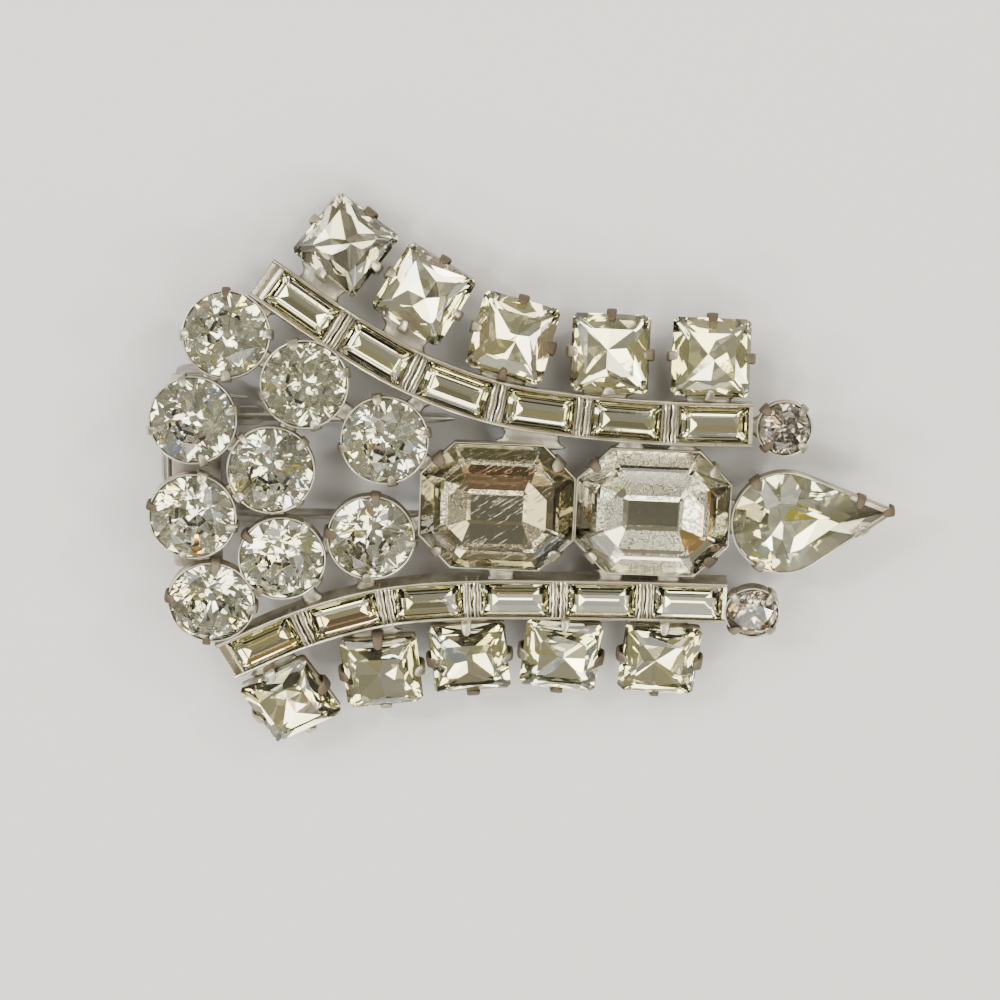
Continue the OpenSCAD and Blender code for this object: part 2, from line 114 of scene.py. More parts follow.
class Shader:
    """A material with one Principled shader, and the one method that adds its nodes."""

    def __init__(self, name):
        self.material = bpy.data.materials.new(name)
        self.material.use_nodes = True
        self.tree = self.material.node_tree
        self.surface = self.tree.nodes["Principled BSDF"]

    def add(self, kind, settings=None, inputs=None, output=0):
        """Makes a node: its settings first, then the values or links of its sockets."""
        node = self.tree.nodes.new(kind)
        for key, setting in (settings or {}).items():
            if key == "stops":
                self.set_stops(node.color_ramp, setting)
            else:
                setattr(node, key, setting)
        for key, term in (inputs or {}).items():
            self.feed(node.inputs[key], term)
        return Value(self, node.outputs[output])

    def set_stops(self, ramp, stops):
        """Gives a ramp its colours, with a hard step from one to the next."""
        ramp.interpolation = "CONSTANT"
        while len(ramp.elements) < len(stops):
            ramp.elements.new(1)
        for element, (position, color) in zip(ramp.elements, stops):
            element.position = position
            element.color = (*color, 1)

    def feed(self, socket, term):
        """Links a value to a socket, or sets the socket to a number or a colour."""
        if isinstance(term, Value):
            self.tree.links.new(term.socket, socket)
        elif isinstance(term, (tuple, list)) and socket.type == "RGBA" and len(term) == 3:
            socket.default_value = (*term, 1)
        else:
            socket.default_value = term

    def finish(self, **inputs):
        """Feeds the Principled shader's sockets, whose names have underscores for their spaces."""
        for name, term in inputs.items():
            self.feed(self.surface.inputs[name.replace("_", " ")], term)
        return self.material

    def place(self):
        return self.add("ShaderNodeTexCoord", output="Object")

    def noise(self, per_mm, detail, where=None):
        """Noise of about this many waves to the millimetre."""
        return self.add("ShaderNodeTexNoise", None, {
            "Vector": where or self.place(), "Scale": per_mm / MM, "Detail": detail})

    def mix(self, share, first, second):
        # A Mix node's colours are its inputs 6 and 7 and its output 2
        return self.add("ShaderNodeMix", {"data_type": "RGBA"}, {0: share, 6: first, 7: second}, 2)

    def attribute(self, name):
        return self.add("ShaderNodeAttribute", {"attribute_name": name}, output="Fac")

    def bump(self, height, strength, distance):
        """Relief whose full height is this distance, in mm."""
        return self.add("ShaderNodeBump", None, {
            "Height": height, "Strength": strength, "Distance": distance * MM})


# Materials

def cut_glass(name, tint, haze=0.006):
    """Clear glass of a crown: light goes through it to the foil behind."""
    s = Shader(name)
    wear = s.noise(0.9, 4).above(0.62, 0.06)
    return s.finish(
        Base_Color=tint, Roughness=haze + wear * 0.02, IOR=1.57, Transmission_Weight=1.0,
        Normal=s.bump(s.noise(3.0, 2), 0.03, 0.003))


def foil(name, shades, tarnish, tarnish_amount, crackle=None, mirror=1.0, scratched=0.0):
    """The mirror foil behind a stone: each facet takes its own shade, and age browns it in patches.

    The tarnish amount is about the share that is browned. The facets whose shade lies between the two
    crackle values are crazed.
    """
    s = Shader(name)
    facet = s.attribute("facet")
    # The rare stops hold the painted reflections, colour flashes and painted shade, with the stain tones
    stops = [(position * PLAIN, color) for position, color in shades] + list(RARE.values())
    shade = s.add("ShaderNodeValToRGB", {"stops": stops}, {"Fac": facet})
    patches = s.noise(0.28, 5).above(1 - tarnish_amount, 0.08)
    color = s.mix(patches * 0.8, shade, tarnish)
    roughness = 0.03 + patches * 0.08
    height = s.noise(1.2, 2) * 0.10
    if crackle:
        first, last = crackle
        folds = s.noise(1.9, 2) - 0.5
        crazed = facet.above(first, 0.004) * (1 - facet.above(last, 0.004))
        creases = (1 - (folds * folds * 60).above(0.12, 0.10)) * crazed
        height = height + creases * 1.2
        roughness = roughness + crazed * 0.10
        color = s.mix(creases * 0.6, color, (0.16, 0.14, 0.10))
    if scratched:
        # The scratches run up to the right
        along = s.add("ShaderNodeMapping", {"vector_type": "TEXTURE"}, {
            "Vector": s.place(), "Rotation": (0, 0, math.radians(32)), "Scale": (1, 0.11, 1)})
        hairs = s.noise(0.7, 3, along).above(0.64, 0.05) * scratched
        height = height + hairs * 0.3
        color = s.mix(hairs * 0.4, color, (0.14, 0.11, 0.08))
    return s.finish(
        Base_Color=color, Metallic=mirror, Roughness=roughness, Normal=s.bump(height, 0.35, 0.04))


def plated_metal(name, bright, dull, brown, gloss):
    """Old silver-coloured plating: dull in blotches, and brown where the tarnish attribute is high.

    The gloss is the roughness of the brightest metal.
    """
    s = Shader(name)
    blotches = s.noise(0.55, 5)
    grain = s.noise(6.0, 3)
    age = s.attribute("tarnish")
    dulled = (blotches * 0.9 + age * 0.5).above(0.62, 0.22)
    browned = (age + blotches * 0.55).above(0.95, 0.2)
    color = s.mix(browned, s.mix(dulled, bright, dull), brown)
    height = blotches * 0.8 + grain * 0.35
    return s.finish(
        Base_Color=color, Metallic=1 - browned * 0.35,
        Roughness=gloss + dulled * 0.16 + grain * 0.12 + browned * 0.14,
        Normal=s.bump(height, 0.45, 0.05))


# The share of a foil's shades that plain facets draw from; the rest are the rare ones
PLAIN = 0.8
# Rare shades: where each starts on the ramp, and its colour. Most stand for painted light: white, yellow,
# blue, rose, amber and lemon for painted reflections and colour flashes, grey, olive and black mostly for
# painted shade, and brown partly for stains and partly for painted shade
RARE = {
    "white": (0.82, (1.0, 0.98, 0.87)),
    "yellow": (0.84, (1.0, 0.92, 0.52)),
    "blue": (0.86, (0.80, 0.88, 1.0)),
    "rose": (0.88, (0.93, 0.79, 0.76)),
    "amber": (0.90, (0.95, 0.62, 0.22)),
    "brown": (0.92, (0.50, 0.34, 0.22)),
    "grey": (0.94, (0.42, 0.40, 0.33)),
    "olive": (0.96, (0.60, 0.56, 0.38)),
    "black": (0.98, (0.10, 0.09, 0.07)),
    "lemon": (0.99, (0.98, 0.90, 0.16))}
# A facet's value lies this far past the start of its shade
INTO_SHADE = 0.005
# The rare shades that a facet may draw at random, as painted colour flashes; the others are only charted
RANDOM_PAINTED_FLASHES = ("white", "yellow", "blue", "rose")
# Plain shades of each kind of foil: where each starts, as a share of their stretch, and its colour
CLEAR = ((0.0, (0.98, 0.97, 0.85)), (0.30, (0.82, 0.81, 0.69)), (0.50, (0.98, 0.98, 0.90)),
         (0.68, (0.66, 0.65, 0.54)), (0.84, (0.97, 0.96, 0.76)))
STRAW = ((0.0, (0.99, 0.97, 0.74)), (0.34, (0.92, 0.88, 0.64)), (0.56, (1.0, 0.98, 0.80)),
         (0.76, (0.78, 0.75, 0.53)), (0.86, (0.99, 0.94, 0.61)))
GOLDEN = ((0.0, (1.0, 0.98, 0.64)), (0.34, (0.91, 0.88, 0.54)), (0.52, (1.0, 0.99, 0.72)),
          (0.72, (0.77, 0.74, 0.44)), (0.84, (1.0, 0.95, 0.57)))
GREYED = ((0.0, (0.60, 0.57, 0.49)), (0.30, (0.92, 0.90, 0.82)), (0.48, (0.36, 0.33, 0.28)),
          (0.66, (0.78, 0.75, 0.66)), (0.84, (0.50, 0.46, 0.38)))
SMOKY = ((0.0, (0.74, 0.71, 0.55)), (0.35, (0.88, 0.84, 0.68)), (0.60, (0.54, 0.50, 0.38)),
         (0.80, (0.98, 0.96, 0.85)))
BROWN = ((0.0, (0.46, 0.40, 0.26)), (0.30, (0.56, 0.50, 0.34)), (0.55, (0.36, 0.31, 0.20)),
         (0.75, (0.66, 0.60, 0.44)))
# Facets with a charted shade: where on the stone, in mm from its middle, and the shade. Most are painted
# light: white, yellow, blue, rose, amber and lemon facets are painted reflections and colour flashes,
# and grey, olive and black facets are mostly painted shade; brown is partly stain and partly painted shade,
# and the octagons' white facets are crazed foil with a painted highlight
CHARTED_TONES_AND_PAINTED_LIGHT = {
    "round_stone_1": ((1.2, -1.2, "yellow"),),
    "round_stone_3": ((-1.8, -0.8, "yellow"),),
    "round_stone_4": ((-1.6, -0.6, "amber"),),
    "round_stone_6": ((1.2, -1.8, "yellow"),),
    "round_stone_7": ((1.0, -1.6, "blue"),),
    "round_stone_9": ((1.8, -1.4, "yellow"),),
    "square_stone_1": ((0.3, 0.8, "white"), (-0.6, -1.8, "white"), (1.2, -0.2, "yellow"),
        (-1.0, 0.6, "yellow")),
    "square_stone_2": ((-2.2, 0.4, "rose"), (0.7, 0.7, "white"), (0.0, -1.6, "grey"),
        (-1.2, -1.0, "yellow")),
    "square_stone_3": ((-1.6, -0.6, "yellow"), (0.9, -0.9, "rose"), (1.2, 0.9, "white"),
        (0.3, 0.4, "white")),
    "square_stone_4": ((-1.9, 0.2, "blue"), (0.6, -0.6, "white"), (0.4, 1.2, "grey")),
    "square_stone_5": ((0.4, 0.4, "rose"), (-0.4, 0.4, "grey"), (-0.4, -0.4, "olive"), (0.4, -0.4, "grey"),
        (1.4, 1.2, "grey"), (-1.4, 0.3, "olive"), (0.3, -1.5, "grey")),
    "square_stone_6": ((-0.5, -0.5, "white"), (0.8, -1.0, "yellow"), (0.6, 0.5, "white")),
    "square_stone_7": ((0.4, 0.4, "white"), (-0.4, -0.8, "blue"), (-0.7, 0.4, "yellow")),
    "square_stone_9": ((0.0, -2.0, "blue"), (0.0, 1.4, "yellow"), (0.6, 0.3, "white"),
        (-0.6, -0.5, "rose"), (0.6, -1.2, "white"), (-0.5, 0.6, "yellow")),
    "square_stone_10": ((-0.3, 0.0, "brown"), (0.8, -0.8, "white"), (-1.6, 1.2, "white")),
    "baguette_9": ((-0.8, 0.59, "amber"), (0.0, -0.31, "grey"), (0.0, -0.59, "white"),
        (0.0, -1.02, "black"), (0.0, 0.31, "yellow"), (0.0, 0.81, "white"), (2.0, 0.0, "yellow"),
        (-2.0, 0.0, "white")),
    "baguette_11": ((0.0, -0.31, "brown"), (0.0, -0.81, "brown"), (-1.6, 0.0, "amber"),
        (0.0, -0.59, "yellow"), (0.0, 0.59, "black")),
    "baguette_12": ((0.0, -0.31, "olive"), (0.0, -0.81, "amber"), (0.0, 0.81, "yellow"),
        (0.0, -0.59, "black"), (0.0, 0.31, "yellow")),
    "small_round_1": ((0.7, -0.3, "white"), (-0.6, 0.5, "black"), (0.2, 0.9, "brown")),
    "small_round_2": ((-0.5, 0.3, "white"), (1.0, 0.0, "rose"), (0.0, -0.8, "brown")),
    "octagon_stone_1": ((0.0, 1.9, "brown"), (0.0, 0.0, "grey"), (0.0, -1.9, "grey"), (0.0, -4.0, "olive"),
        (0.0, 4.0, "grey"), (-4.2, -3.0, "white"), (3.9, 1.8, "white"), (-5.0, 0.0, "olive"),
        (0.0, 3.0, "white"), (4.2, -2.4, "blue"), (-3.9, 0.0, "yellow"), (2.6, 0.0, "olive")),
    "octagon_stone_2": ((0.0, 4.0, "white"), (0.0, -4.0, "white"), (-4.0, 2.9, "white"),
        (-4.0, -2.9, "white"), (-2.9, 0.0, "white"), (5.0, -0.4, "olive"), (4.0, -0.3, "amber"),
        (0.0, 0.0, "grey"), (-5.0, 0.4, "grey"), (0.0, 3.0, "black"), (0.0, 2.2, "white"),
        (0.0, -2.2, "white"), (3.1, 0.0, "white"), (2.7, -1.7, "amber")),
    "pear_stone": ((1.8, 1.3, "lemon"), (3.2, 0.8, "yellow"), (5.4, 0.5, "white"), (5.0, -0.6, "olive"),
        (0.0, -1.2, "white"), (-1.6, 1.0, "grey"), (2.2, 2.2, "yellow")),
}


def charted_tones_and_painted_light_of(name):
    """The charted facets of a stone, mostly painted reflections and painted shade. The lower half of most
    baguettes is in painted shade.
    """
    if name in CHARTED_TONES_AND_PAINTED_LIGHT or name not in BAGUETTES:
        return CHARTED_TONES_AND_PAINTED_LIGHT.get(name, ())
    low, lowest = (("yellow", "white"), ("olive", "yellow"))[BAGUETTES.index(name) % 2]
    return ((0.0, -0.31, low), (0.0, -0.81, lowest), (0.0, -0.59, "white"), (0.0, -1.02, "black"),
            (0.0, 0.59, "black"), (2.0, 0.0, "yellow"), (-2.0, 0.0, "white"), (0.0, 0.31, "white"),
            (0.0, 0.81, "yellow"), (0.0, -1.23, "white"))


def chosen(group, name):
    """The colour that is set in one of the scene's groups of properties."""
    return tuple(getattr(getattr(bpy.context.scene, group), name))


class Finishes:
    """The clip's materials, made once each when they are first asked for."""

    recipes = {
        "clear_glass": lambda name: cut_glass(name, chosen("clip_stones", "clear_tint")),
        "straw_glass": lambda name: cut_glass(name, chosen("clip_stones", "straw_tint")),
        "smoky_glass": lambda name: cut_glass(name, chosen("clip_stones", "smoky_tint"), haze=0.008),
        "cloudy_glass": lambda name: cut_glass(name, chosen("clip_stones", "cloudy_tint"), haze=0.10),
        "clear_foil": lambda name: foil(name, CLEAR, (0.30, 0.22, 0.13), 0.26, mirror=0.97),
        "pear_foil": lambda name: foil(name, CLEAR, (0.46, 0.36, 0.22), 0.18, mirror=0.90),
        "straw_foil": lambda name: foil(name, STRAW, (0.46, 0.30, 0.16), 0.24, mirror=0.97),
        # The greyed square's foil: its own greyed tones, darkened further as painted shade
        "greyed_foil": lambda name: foil(name, GREYED, (0.42, 0.33, 0.30), 0.30, mirror=0.95),
        "bar_foil": lambda name: foil(name, GOLDEN, (0.50, 0.34, 0.16), 0.22),
        "cloudy_foil": lambda name: foil(name, GREYED, (0.32, 0.27, 0.21), 0.34, mirror=0.92),
        "brown_foil": lambda name: foil(
            name, BROWN, (0.40, 0.31, 0.22), 0.22, crackle=(0.60, 0.835), mirror=0.97, scratched=1.0),
        "crazed_foil": lambda name: foil(
            name, SMOKY, (0.60, 0.46, 0.28), 0.16, crackle=(0.56, 0.835), mirror=0.97),
        "setting_plate": lambda name: plated_metal(
            name, chosen("clip_metal", "plate_color"), (0.29, 0.26, 0.19), (0.12, 0.09, 0.06), gloss=0.22),
        "solder": lambda name: plated_metal(
            name, chosen("clip_metal", "solder_color"), (0.13, 0.118, 0.088), (0.12, 0.09, 0.065),
            gloss=0.32),
        "fork_steel": lambda name: plated_metal(
            name, chosen("clip_hinge", "steel_color"), (0.40, 0.37, 0.32), (0.26, 0.18, 0.11), gloss=0.28),
    }
    made = {}

    @classmethod
    def get(cls, name):
        """The finished material of this name."""
        if name not in cls.made:
            cls.made[name] = cls.recipes[name](name)
        return cls.made[name]


# Places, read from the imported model

def table_normal(mesh):
    """The way that a stone's table faces: the direction that most of its upward area shares."""
    faces = [f for f in mesh.polygons if f.normal.z > 0.5]

    def shared_area(seed):
        return sum(f.area for f in faces if f.normal.dot(seed.normal) > 0.9999)

    return max(faces, key=shared_area).normal.copy()


def along_axis():
    """The face's long axis: every stone on the dome is square to it."""
    upper, lower = (table_normal(frame["nodes"][name].data) for name in (SQUARES[0], SQUARES[-1]))
    axis = lower.cross(upper) if lower.cross(upper).x > 0 else upper.cross(lower)
    return axis.normalized()


ALONG = along_axis()


def axes(x, y, z, origin):
    """The matrix that carries millimetres along these axes to the frame's metres."""
    columns = [(*axis * MM, 0.0) for axis in (x, y, z)] + [(*origin, 1.0)]
    return Matrix(columns).transposed()


class Seat:
    """Where a stone sits: the matrix from its own millimetres, and its half sizes, crown and depth."""

    def __init__(self, name):
        self.name = name
        mesh = frame["nodes"][name].data
        points = [v.co.copy() for v in mesh.vertices]
        up = table_normal(mesh)
        top = max(p.dot(up) for p in points)
        girdle = self.girdle_height(points, up)
        table = [p for p in points if p.dot(up) > top - 0.02 * MM]
        self.crown = top / MM - girdle / MM
        self.depth = girdle / MM - min(p.dot(up) for p in points) / MM
        middle = (Vector([min(p[i] for p in table) for i in range(3)])
                  + Vector([max(p[i] for p in table) for i in range(3)])) / 2
        origin = middle - up * (middle.dot(up) - girdle)
        turn = self.turn_of(points, up, origin)
        self.frame_on(up, turn, origin)
        if name == PEAR:
            self.settle_pear(points)
        inside = self.matrix.inverted()
        local = [inside @ p for p in points]
        self.half_l = max(abs(p.x) for p in local) + SWELL
        self.half_w = max(abs(p.y) for p in local) + SWELL

    def girdle_height(self, points, up):
        """Height of the girdle along the normal: the middle of the widest ring of points."""
        middle = sum(points, Vector()) / len(points)
        reach = [((p - middle) - up * (p - middle).dot(up)).length for p in points]
        wide = [p.dot(up) for p, r in zip(points, reach) if r > 0.985 * max(reach)]
        return (min(wide) + max(wide)) / 2

    def frame_on(self, up, turn, origin):
        """Sets the matrix from the stone's own millimetres."""
        x = Matrix.Rotation(turn, 3, up) @ ALONG
        self.matrix = axes(x, up.cross(x), up, origin)

    def turn_of(self, points, up, origin):
        """The stone's turn on its seat: towards its point, or where its outline is the tightest."""
        if self.name in CLAW_TURNS:
            return math.radians(CLAW_TURNS[self.name])
        if self.name in SMALLS:
            return math.radians(SMALL_TURN)
        side = up.cross(ALONG)
        flat = [((p - origin).dot(ALONG), (p - origin).dot(side)) for p in points]
        if self.name == PEAR:
            x, y = max(flat, key=lambda p: p[0])
            return math.atan2(y, x)

        def spread(turn):
            c, s = math.cos(turn), math.sin(turn)
            wide = [x * c + y * s for x, y in flat]
            high = [y * c - x * s for x, y in flat]
            return (max(wide) - min(wide)) * (max(high) - min(high))

        # Every fifth of a degree up to 45 degrees either way
        return min((math.radians(k / 5) for k in range(-225, 226)), key=spread)

    def settle_pear(self, points):
        """Moves the pear's origin to the middle of its round end, half a width in from that end."""
        inside = self.matrix.inverted()
        local = [inside @ p for p in points]
        radius = max(abs(p.y) for p in local)
        blunt = min(p.x for p in local)
        self.matrix = self.matrix @ Matrix.Translation((blunt + radius, 0, 0))
        self.reach = (max(p.x for p in local) - blunt - radius) * (radius + SWELL) / radius

    @property
    def origin(self):
        return self.matrix.translation.copy()


SEATS = {name: Seat(name) for name in ROUNDS + SQUARES + BAGUETTES + OCTAGONS + SMALLS + [PEAR]}


def hinge_frame():
    """The fork's hinge: its axis is Y, +X leads along the face and +Z out of it."""
    joint = frame["joints"][0]
    y = Vector(joint["axis"]).normalized()
    z = ALONG.cross(y).normalized()
    return axes(y.cross(z), y, z, Vector(joint["pos_m"]))


def between(first, second, share):
    """A seat's matrix part of the way from one to another."""
    mixed = [first.col[i].lerp(second.col[i], share) for i in range(4)]
    x, z = mixed[0].to_3d().normalized(), mixed[2].to_3d().normalized()
    y = z.cross(x).normalized()
    return axes(y.cross(z), y, z, mixed[3].to_3d())


def nearest_on_bar(point, bar):
    """The matrix at the place nearest to a point on a bar, which runs a quarter step past its end stones."""
    best = None
    for first, second in zip(BARS[bar], BARS[bar][1:]):
        a, b = SEATS[first].origin, SEATS[second].origin
        way = b - a
        share = min(max((point - a).dot(way) / way.length_squared, -0.25), 1.25)
        gap = (a + way * share - point).length
        if best is None or gap < best[0]:
            best = (gap, between(SEATS[first].matrix, SEATS[second].matrix, share))
    return best[1]


# Mesh building

def shift(x=0.0, y=0.0, z=0.0):
    return Matrix.Translation((x, y, z))


def stretch(x=1.0, y=1.0, z=1.0):
    return Matrix.Diagonal((x, y, z, 1.0))


def turn_about(axis, degrees):
    return Matrix.Rotation(math.radians(degrees), 4, axis)


# An outline is drawn in its own XY plane: STAND swings it so that it is swept along X, with its x along Y
# and its y up, and LIE so that it is swept along Y, with its x along X and its y up
STAND = Matrix(((0, 0, 1, 0), (1, 0, 0, 0), (0, 1, 0, 0), (0, 0, 0, 1)))
LIE = Matrix(((1, 0, 0, 0), (0, 0, 1, 0), (0, 1, 0, 0), (0, 0, 0, 1)))


def sweep(bm, outline, steps):
    """Extrudes a closed outline, drawn in its own XY plane, from step to step and closes both ends."""
    verts = [bm.verts.new(steps[0] @ Vector((*p, 0.0))) for p in outline]
    edges = [bm.edges.new(pair) for pair in zip(verts, verts[1:] + verts[:1])]
    bmesh.ops.edgeloop_fill(bm, edges=edges)
    made = list(verts)
    for before, after in zip(steps, steps[1:]):
        grown = bmesh.ops.extrude_edge_only(bm, edges=edges)["geom"]
        verts = [g for g in grown if isinstance(g, bmesh.types.BMVert)]
        ring = set(verts)
        edges = [g for g in grown if isinstance(g, bmesh.types.BMEdge) and set(g.verts) <= ring]
        bmesh.ops.transform(bm, matrix=after @ before.inverted(), verts=verts)
        made += verts
    bmesh.ops.edgeloop_fill(bm, edges=edges)
    return made


def circle(sides, radius=1.0, phase=0.0):
    return [(radius * math.cos(2 * math.pi * (k + phase) / sides),
             radius * math.sin(2 * math.pi * (k + phase) / sides)) for k in range(sides)]


def cut_plan(half_l, half_w, cut, steps=1):
    """A rectangle with its corners cut, or rounded where there are more steps."""
    points = []
    for cx, cy, start in ((1, 1, 0), (-1, 1, 90), (-1, -1, 180), (1, -1, 270)):
        for k in range(steps + 1):
            a = math.radians(start + 90 * k / steps)
            points.append((cx * (half_l - cut) + cut * math.cos(a), cy * (half_w - cut) + cut * math.sin(a)))
    return points


def pear_plan(radius, reach, steps):
    """A round end about the origin whose straight sides meet at the point."""
    side = math.acos(radius / reach)
    sweep_angle = (2 * math.pi - 2 * side) / steps
    return [(reach, 0.0)] + [
        (radius * math.cos(side + k * sweep_angle), radius * math.sin(side + k * sweep_angle))
        for k in range(steps + 1)]


def metal_mesh():
    """An empty bmesh whose corners carry how tarnished they are."""
    bm = bmesh.new()
    bm.verts.layers.float.new("tarnish")
    return bm


def tarnish(bm, verts, amount, seed):
    """Sets how tarnished some corners are: the amount, give or take a little."""
    layer = bm.verts.layers.float["tarnish"]
    value = amount + random.Random(seed).uniform(-0.12, 0.12)
    for v in verts:
        v[layer] = value


def piece(name, bm, body, node, finishes, smooth=30):
    """Makes a finished piece from a bmesh: it rides on a body and stands for a node."""
    bmesh.ops.recalc_face_normals(bm, faces=bm.faces)
    mesh = bpy.data.meshes.new(name)
    bm.to_mesh(mesh)
    bm.free()
    thing = bpy.data.objects.new(name, mesh)
    bpy.context.scene.collection.objects.link(thing)
    for finish in finishes:
        mesh.materials.append(Finishes.get(finish))
    if smooth:
        mesh.shade_smooth()
        mesh.set_sharp_from_angle(angle=math.radians(smooth))
    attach(thing, body)
    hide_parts(node)
    return thing


# Cut stones

def shade_facets(bm, seat, seed, rare):
    """Draws each foiled facet's shade, a few of them painted colour flashes, then gives the charted facets
    theirs, which are mostly painted reflections and painted shade.
    """
    layer = bm.faces.layers.float.new("facet")
    draw = random.Random(seed)
    backs = []
    for face in bm.faces:
        face.normal_update()
        face.material_index = int(face.normal.z < 0.05)
        # A rare draw gives the facet a painted colour flash
        plain, odd = draw.random() * PLAIN * 0.99, RARE[draw.choice(RANDOM_PAINTED_FLASHES)][0] + INTO_SHADE
        face[layer] = odd if draw.random() < rare else plain
        if face.normal.z < -0.1:
            backs.append(face)
    # The charted facets: mostly painted reflections and painted shade, with some of the foil's own stains and
    # crazing
    for x, y, shade in charted_tones_and_painted_light_of(seat.name):
        nearest = min(backs, key=lambda face: (face.calc_center_median().xy - Vector((x, y))).length)
        nearest[layer] = RARE[shade][0] + INTO_SHADE


def cut_stone(seat, rings, finishes, seed, uneven=0.0, rare=0.0):
    """One stone: the facets are the hull of its rings of corners, foiled from the girdle down.

    Uneven is how far a corner strays, as a share of its place, and rare is the share of odd facets.
    """
    bm = bmesh.new()
    wobble = random.Random(seed + 1000)
    for plan, height in rings:
        by = 0.0 if abs(height) <= GIRDLE or height == seat.crown else uneven
        for x, y in plan:
            lift = wobble.uniform(-by, by)
            bm.verts.new((x * (1 + lift), y * (1 + lift), height + lift * 0.8))
    bmesh.ops.convex_hull(bm, input=bm.verts)
    bmesh.ops.dissolve_limit(bm, angle_limit=math.radians(1.0), verts=bm.verts, edges=bm.edges)
    shade_facets(bm, seat, seed, rare)
    bmesh.ops.transform(bm, matrix=seat.matrix, verts=bm.verts)
    return piece("cut_" + seat.name, bm, "clip", seat.name, finishes, smooth=0)


def scaled(plan, share):
    return [(x * share, y * share) for x, y in plan]


def brilliant(seat, seed, finishes, table, sides=8):
    """A round brilliant: table, stars, kites and halves above, mains and halves below."""
    r, c, d = seat.half_l, seat.crown, seat.depth
    star = 0.80
    drop = (star * math.cos(math.pi / sides) - table) / (1 - table)
    rings = [(circle(sides, table * r), c), (circle(sides, star * r, 0.5), c - drop * (c - GIRDLE)),
             (circle(2 * sides, r), GIRDLE), (circle(2 * sides, r), -GIRDLE),
             (circle(sides, 0.66 * r, 0.25), -d * 0.42), (circle(sides, 0.38 * r, 0.75), -d * 0.72),
             (circle(sides, 0.12 * r), -d * 0.95)]
    return cut_stone(seat, rings, finishes, seed, uneven=0.05, rare=0.10)


def cross_cut(seat, seed, back, uneven):
    """A square stone: bevelled crown, and a shallow broken back whose ridges cross under the table."""
    h, c, d = seat.half_l, seat.crown, seat.depth * 0.29
    rings = [(cut_plan(h * 0.60, h * 0.60, h * 0.05), c), (cut_plan(h * 0.86, h * 0.86, h * 0.08), c * 0.52),
             (cut_plan(h, h, h * 0.11), GIRDLE), (cut_plan(h, h, h * 0.11), -GIRDLE),
             (circle(4, h * 1.10, 0.5), -d * 0.36), (circle(8, h * 0.72), -d * 0.48),
             (circle(6, h * 0.44, 0.3), -d * 0.78), (circle(4, h * 0.12, 0.5), -d)]
    return cut_stone(seat, rings, ("straw_glass", back), seed, uneven, rare=0.05)


def step_stone(seat, seed, steps, finishes, corner, back_corner):
    """A step cut from rings that each have an inset, as a share of the half width, and a height.

    Its corners are cut by a length in mm, which shrinks as the rings draw in, at the back at its own rate.
    """
    rings = []
    for inset, height in steps:
        inwards = seat.half_w * inset
        closing = 0.75 if height > 0 else back_corner
        cut = max(corner * (1 - inset * closing), 0.02)
        rings.append((cut_plan(seat.half_l - inwards, seat.half_w - inwards, cut), height))
    return cut_stone(seat, rings, finishes, seed)


def pear_stone_cut(seat, seed):
    """The pear: its rings are the same outline with fewer sides as they draw in."""
    c, d = seat.crown, seat.depth * 0.42
    # Steps round each ring, its share of the outline and its height
    cuts = ((7, 0.52, c), (8, 0.80, c * 0.55), (15, 1.0, GIRDLE), (15, 1.0, -GIRDLE),
            (9, 0.66, -d * 0.46), (6, 0.34, -d * 0.80), (5, 0.06, -d))
    rings = [(scaled(pear_plan(seat.half_w, seat.reach, steps), share), height)
             for steps, share, height in cuts]
    return cut_stone(
        seat, rings, ("straw_glass", "pear_foil"), seed, uneven=0.06, rare=0.05)


# Setting

def outline_of(seat):
    """The outline of a stone's cup, before it is grown: that of its girdle."""
    if seat.name in ROUNDS + SMALLS:
        return circle(40, seat.half_l)
    if seat.name == PEAR:
        return pear_plan(seat.half_w, seat.reach, 30)
    if seat.name in OCTAGONS:
        return cut_plan(seat.half_l, seat.half_w, OCTAGON_CUT)
    return cut_plan(seat.half_l, seat.half_w, 0.30, 4)


class Cup:
    """A stone's cup: its outline at the girdle and the shares that taper it to the foot."""

    def __init__(self, seat, outline, low, metal):
        self.seat = seat
        self.outline = outline
        self.low = low
        self.metal = metal
        self.gap = metal.stone_gap
        self.outer = metal.stone_gap + metal.wall
        self.rim = metal.rim
        if seat.name in SQUARES:
            self.gap, self.outer, self.rim = -metal.tuck - metal.wall, -metal.tuck, -metal.tuck_rim
        if seat.name in OCTAGONS:
            self.outer, self.rim = metal.stone_gap + metal.octagon_wall, metal.octagon_rim

    def grown(self, by, height, share=1.0):
        """The step whose outline stands out from the stone's by a distance, scaled to a share."""
        sx = (self.seat.half_l + by) / self.seat.half_l
        sy = (self.seat.half_w + by) / self.seat.half_w
        if self.seat.name == PEAR:
            sx = sy
        return self.seat.matrix @ shift(z=height) @ stretch(sx * share, sy * share)

    def build(self, bm, seed):
        """Sweeps the cup's skin and tarnishes it, and makes it darker and browner below the collar."""
        gap, outer, rim, collar = self.gap, self.outer, self.rim, self.metal.collar
        soft = (outer - gap) * 0.3
        foot = self.metal.foot_share
        steps = [
            # Outside, from the foot to the rim
            self.grown(outer, -self.low, foot * 0.86), self.grown(outer, -self.low + 0.1, foot),
            self.grown(outer, -collar), self.grown(outer, rim - soft),
            # Over the rim
            self.grown(outer - soft * 0.4, rim - soft * 0.3), self.grown(outer - soft, rim),
            self.grown(gap + soft, rim), self.grown(gap + soft * 0.2, rim - soft * 0.5),
            # Inside, from the rim to the stone's tip
            self.grown(gap, rim - soft * 1.4), self.grown(gap, rim - 0.4),
            self.grown(gap, -self.seat.depth - gap, 0.25)]
        made = sweep(bm, self.outline, steps)
        tarnish(bm, made, 0.36, seed)
        layer = bm.verts.layers.float["tarnish"]
        ground = self.seat.matrix.inverted()
        # Below the collar the cup is darker and browner
        for v in made:
            if (ground @ v.co).z < -collar * 0.5:
                v[layer] += 0.35


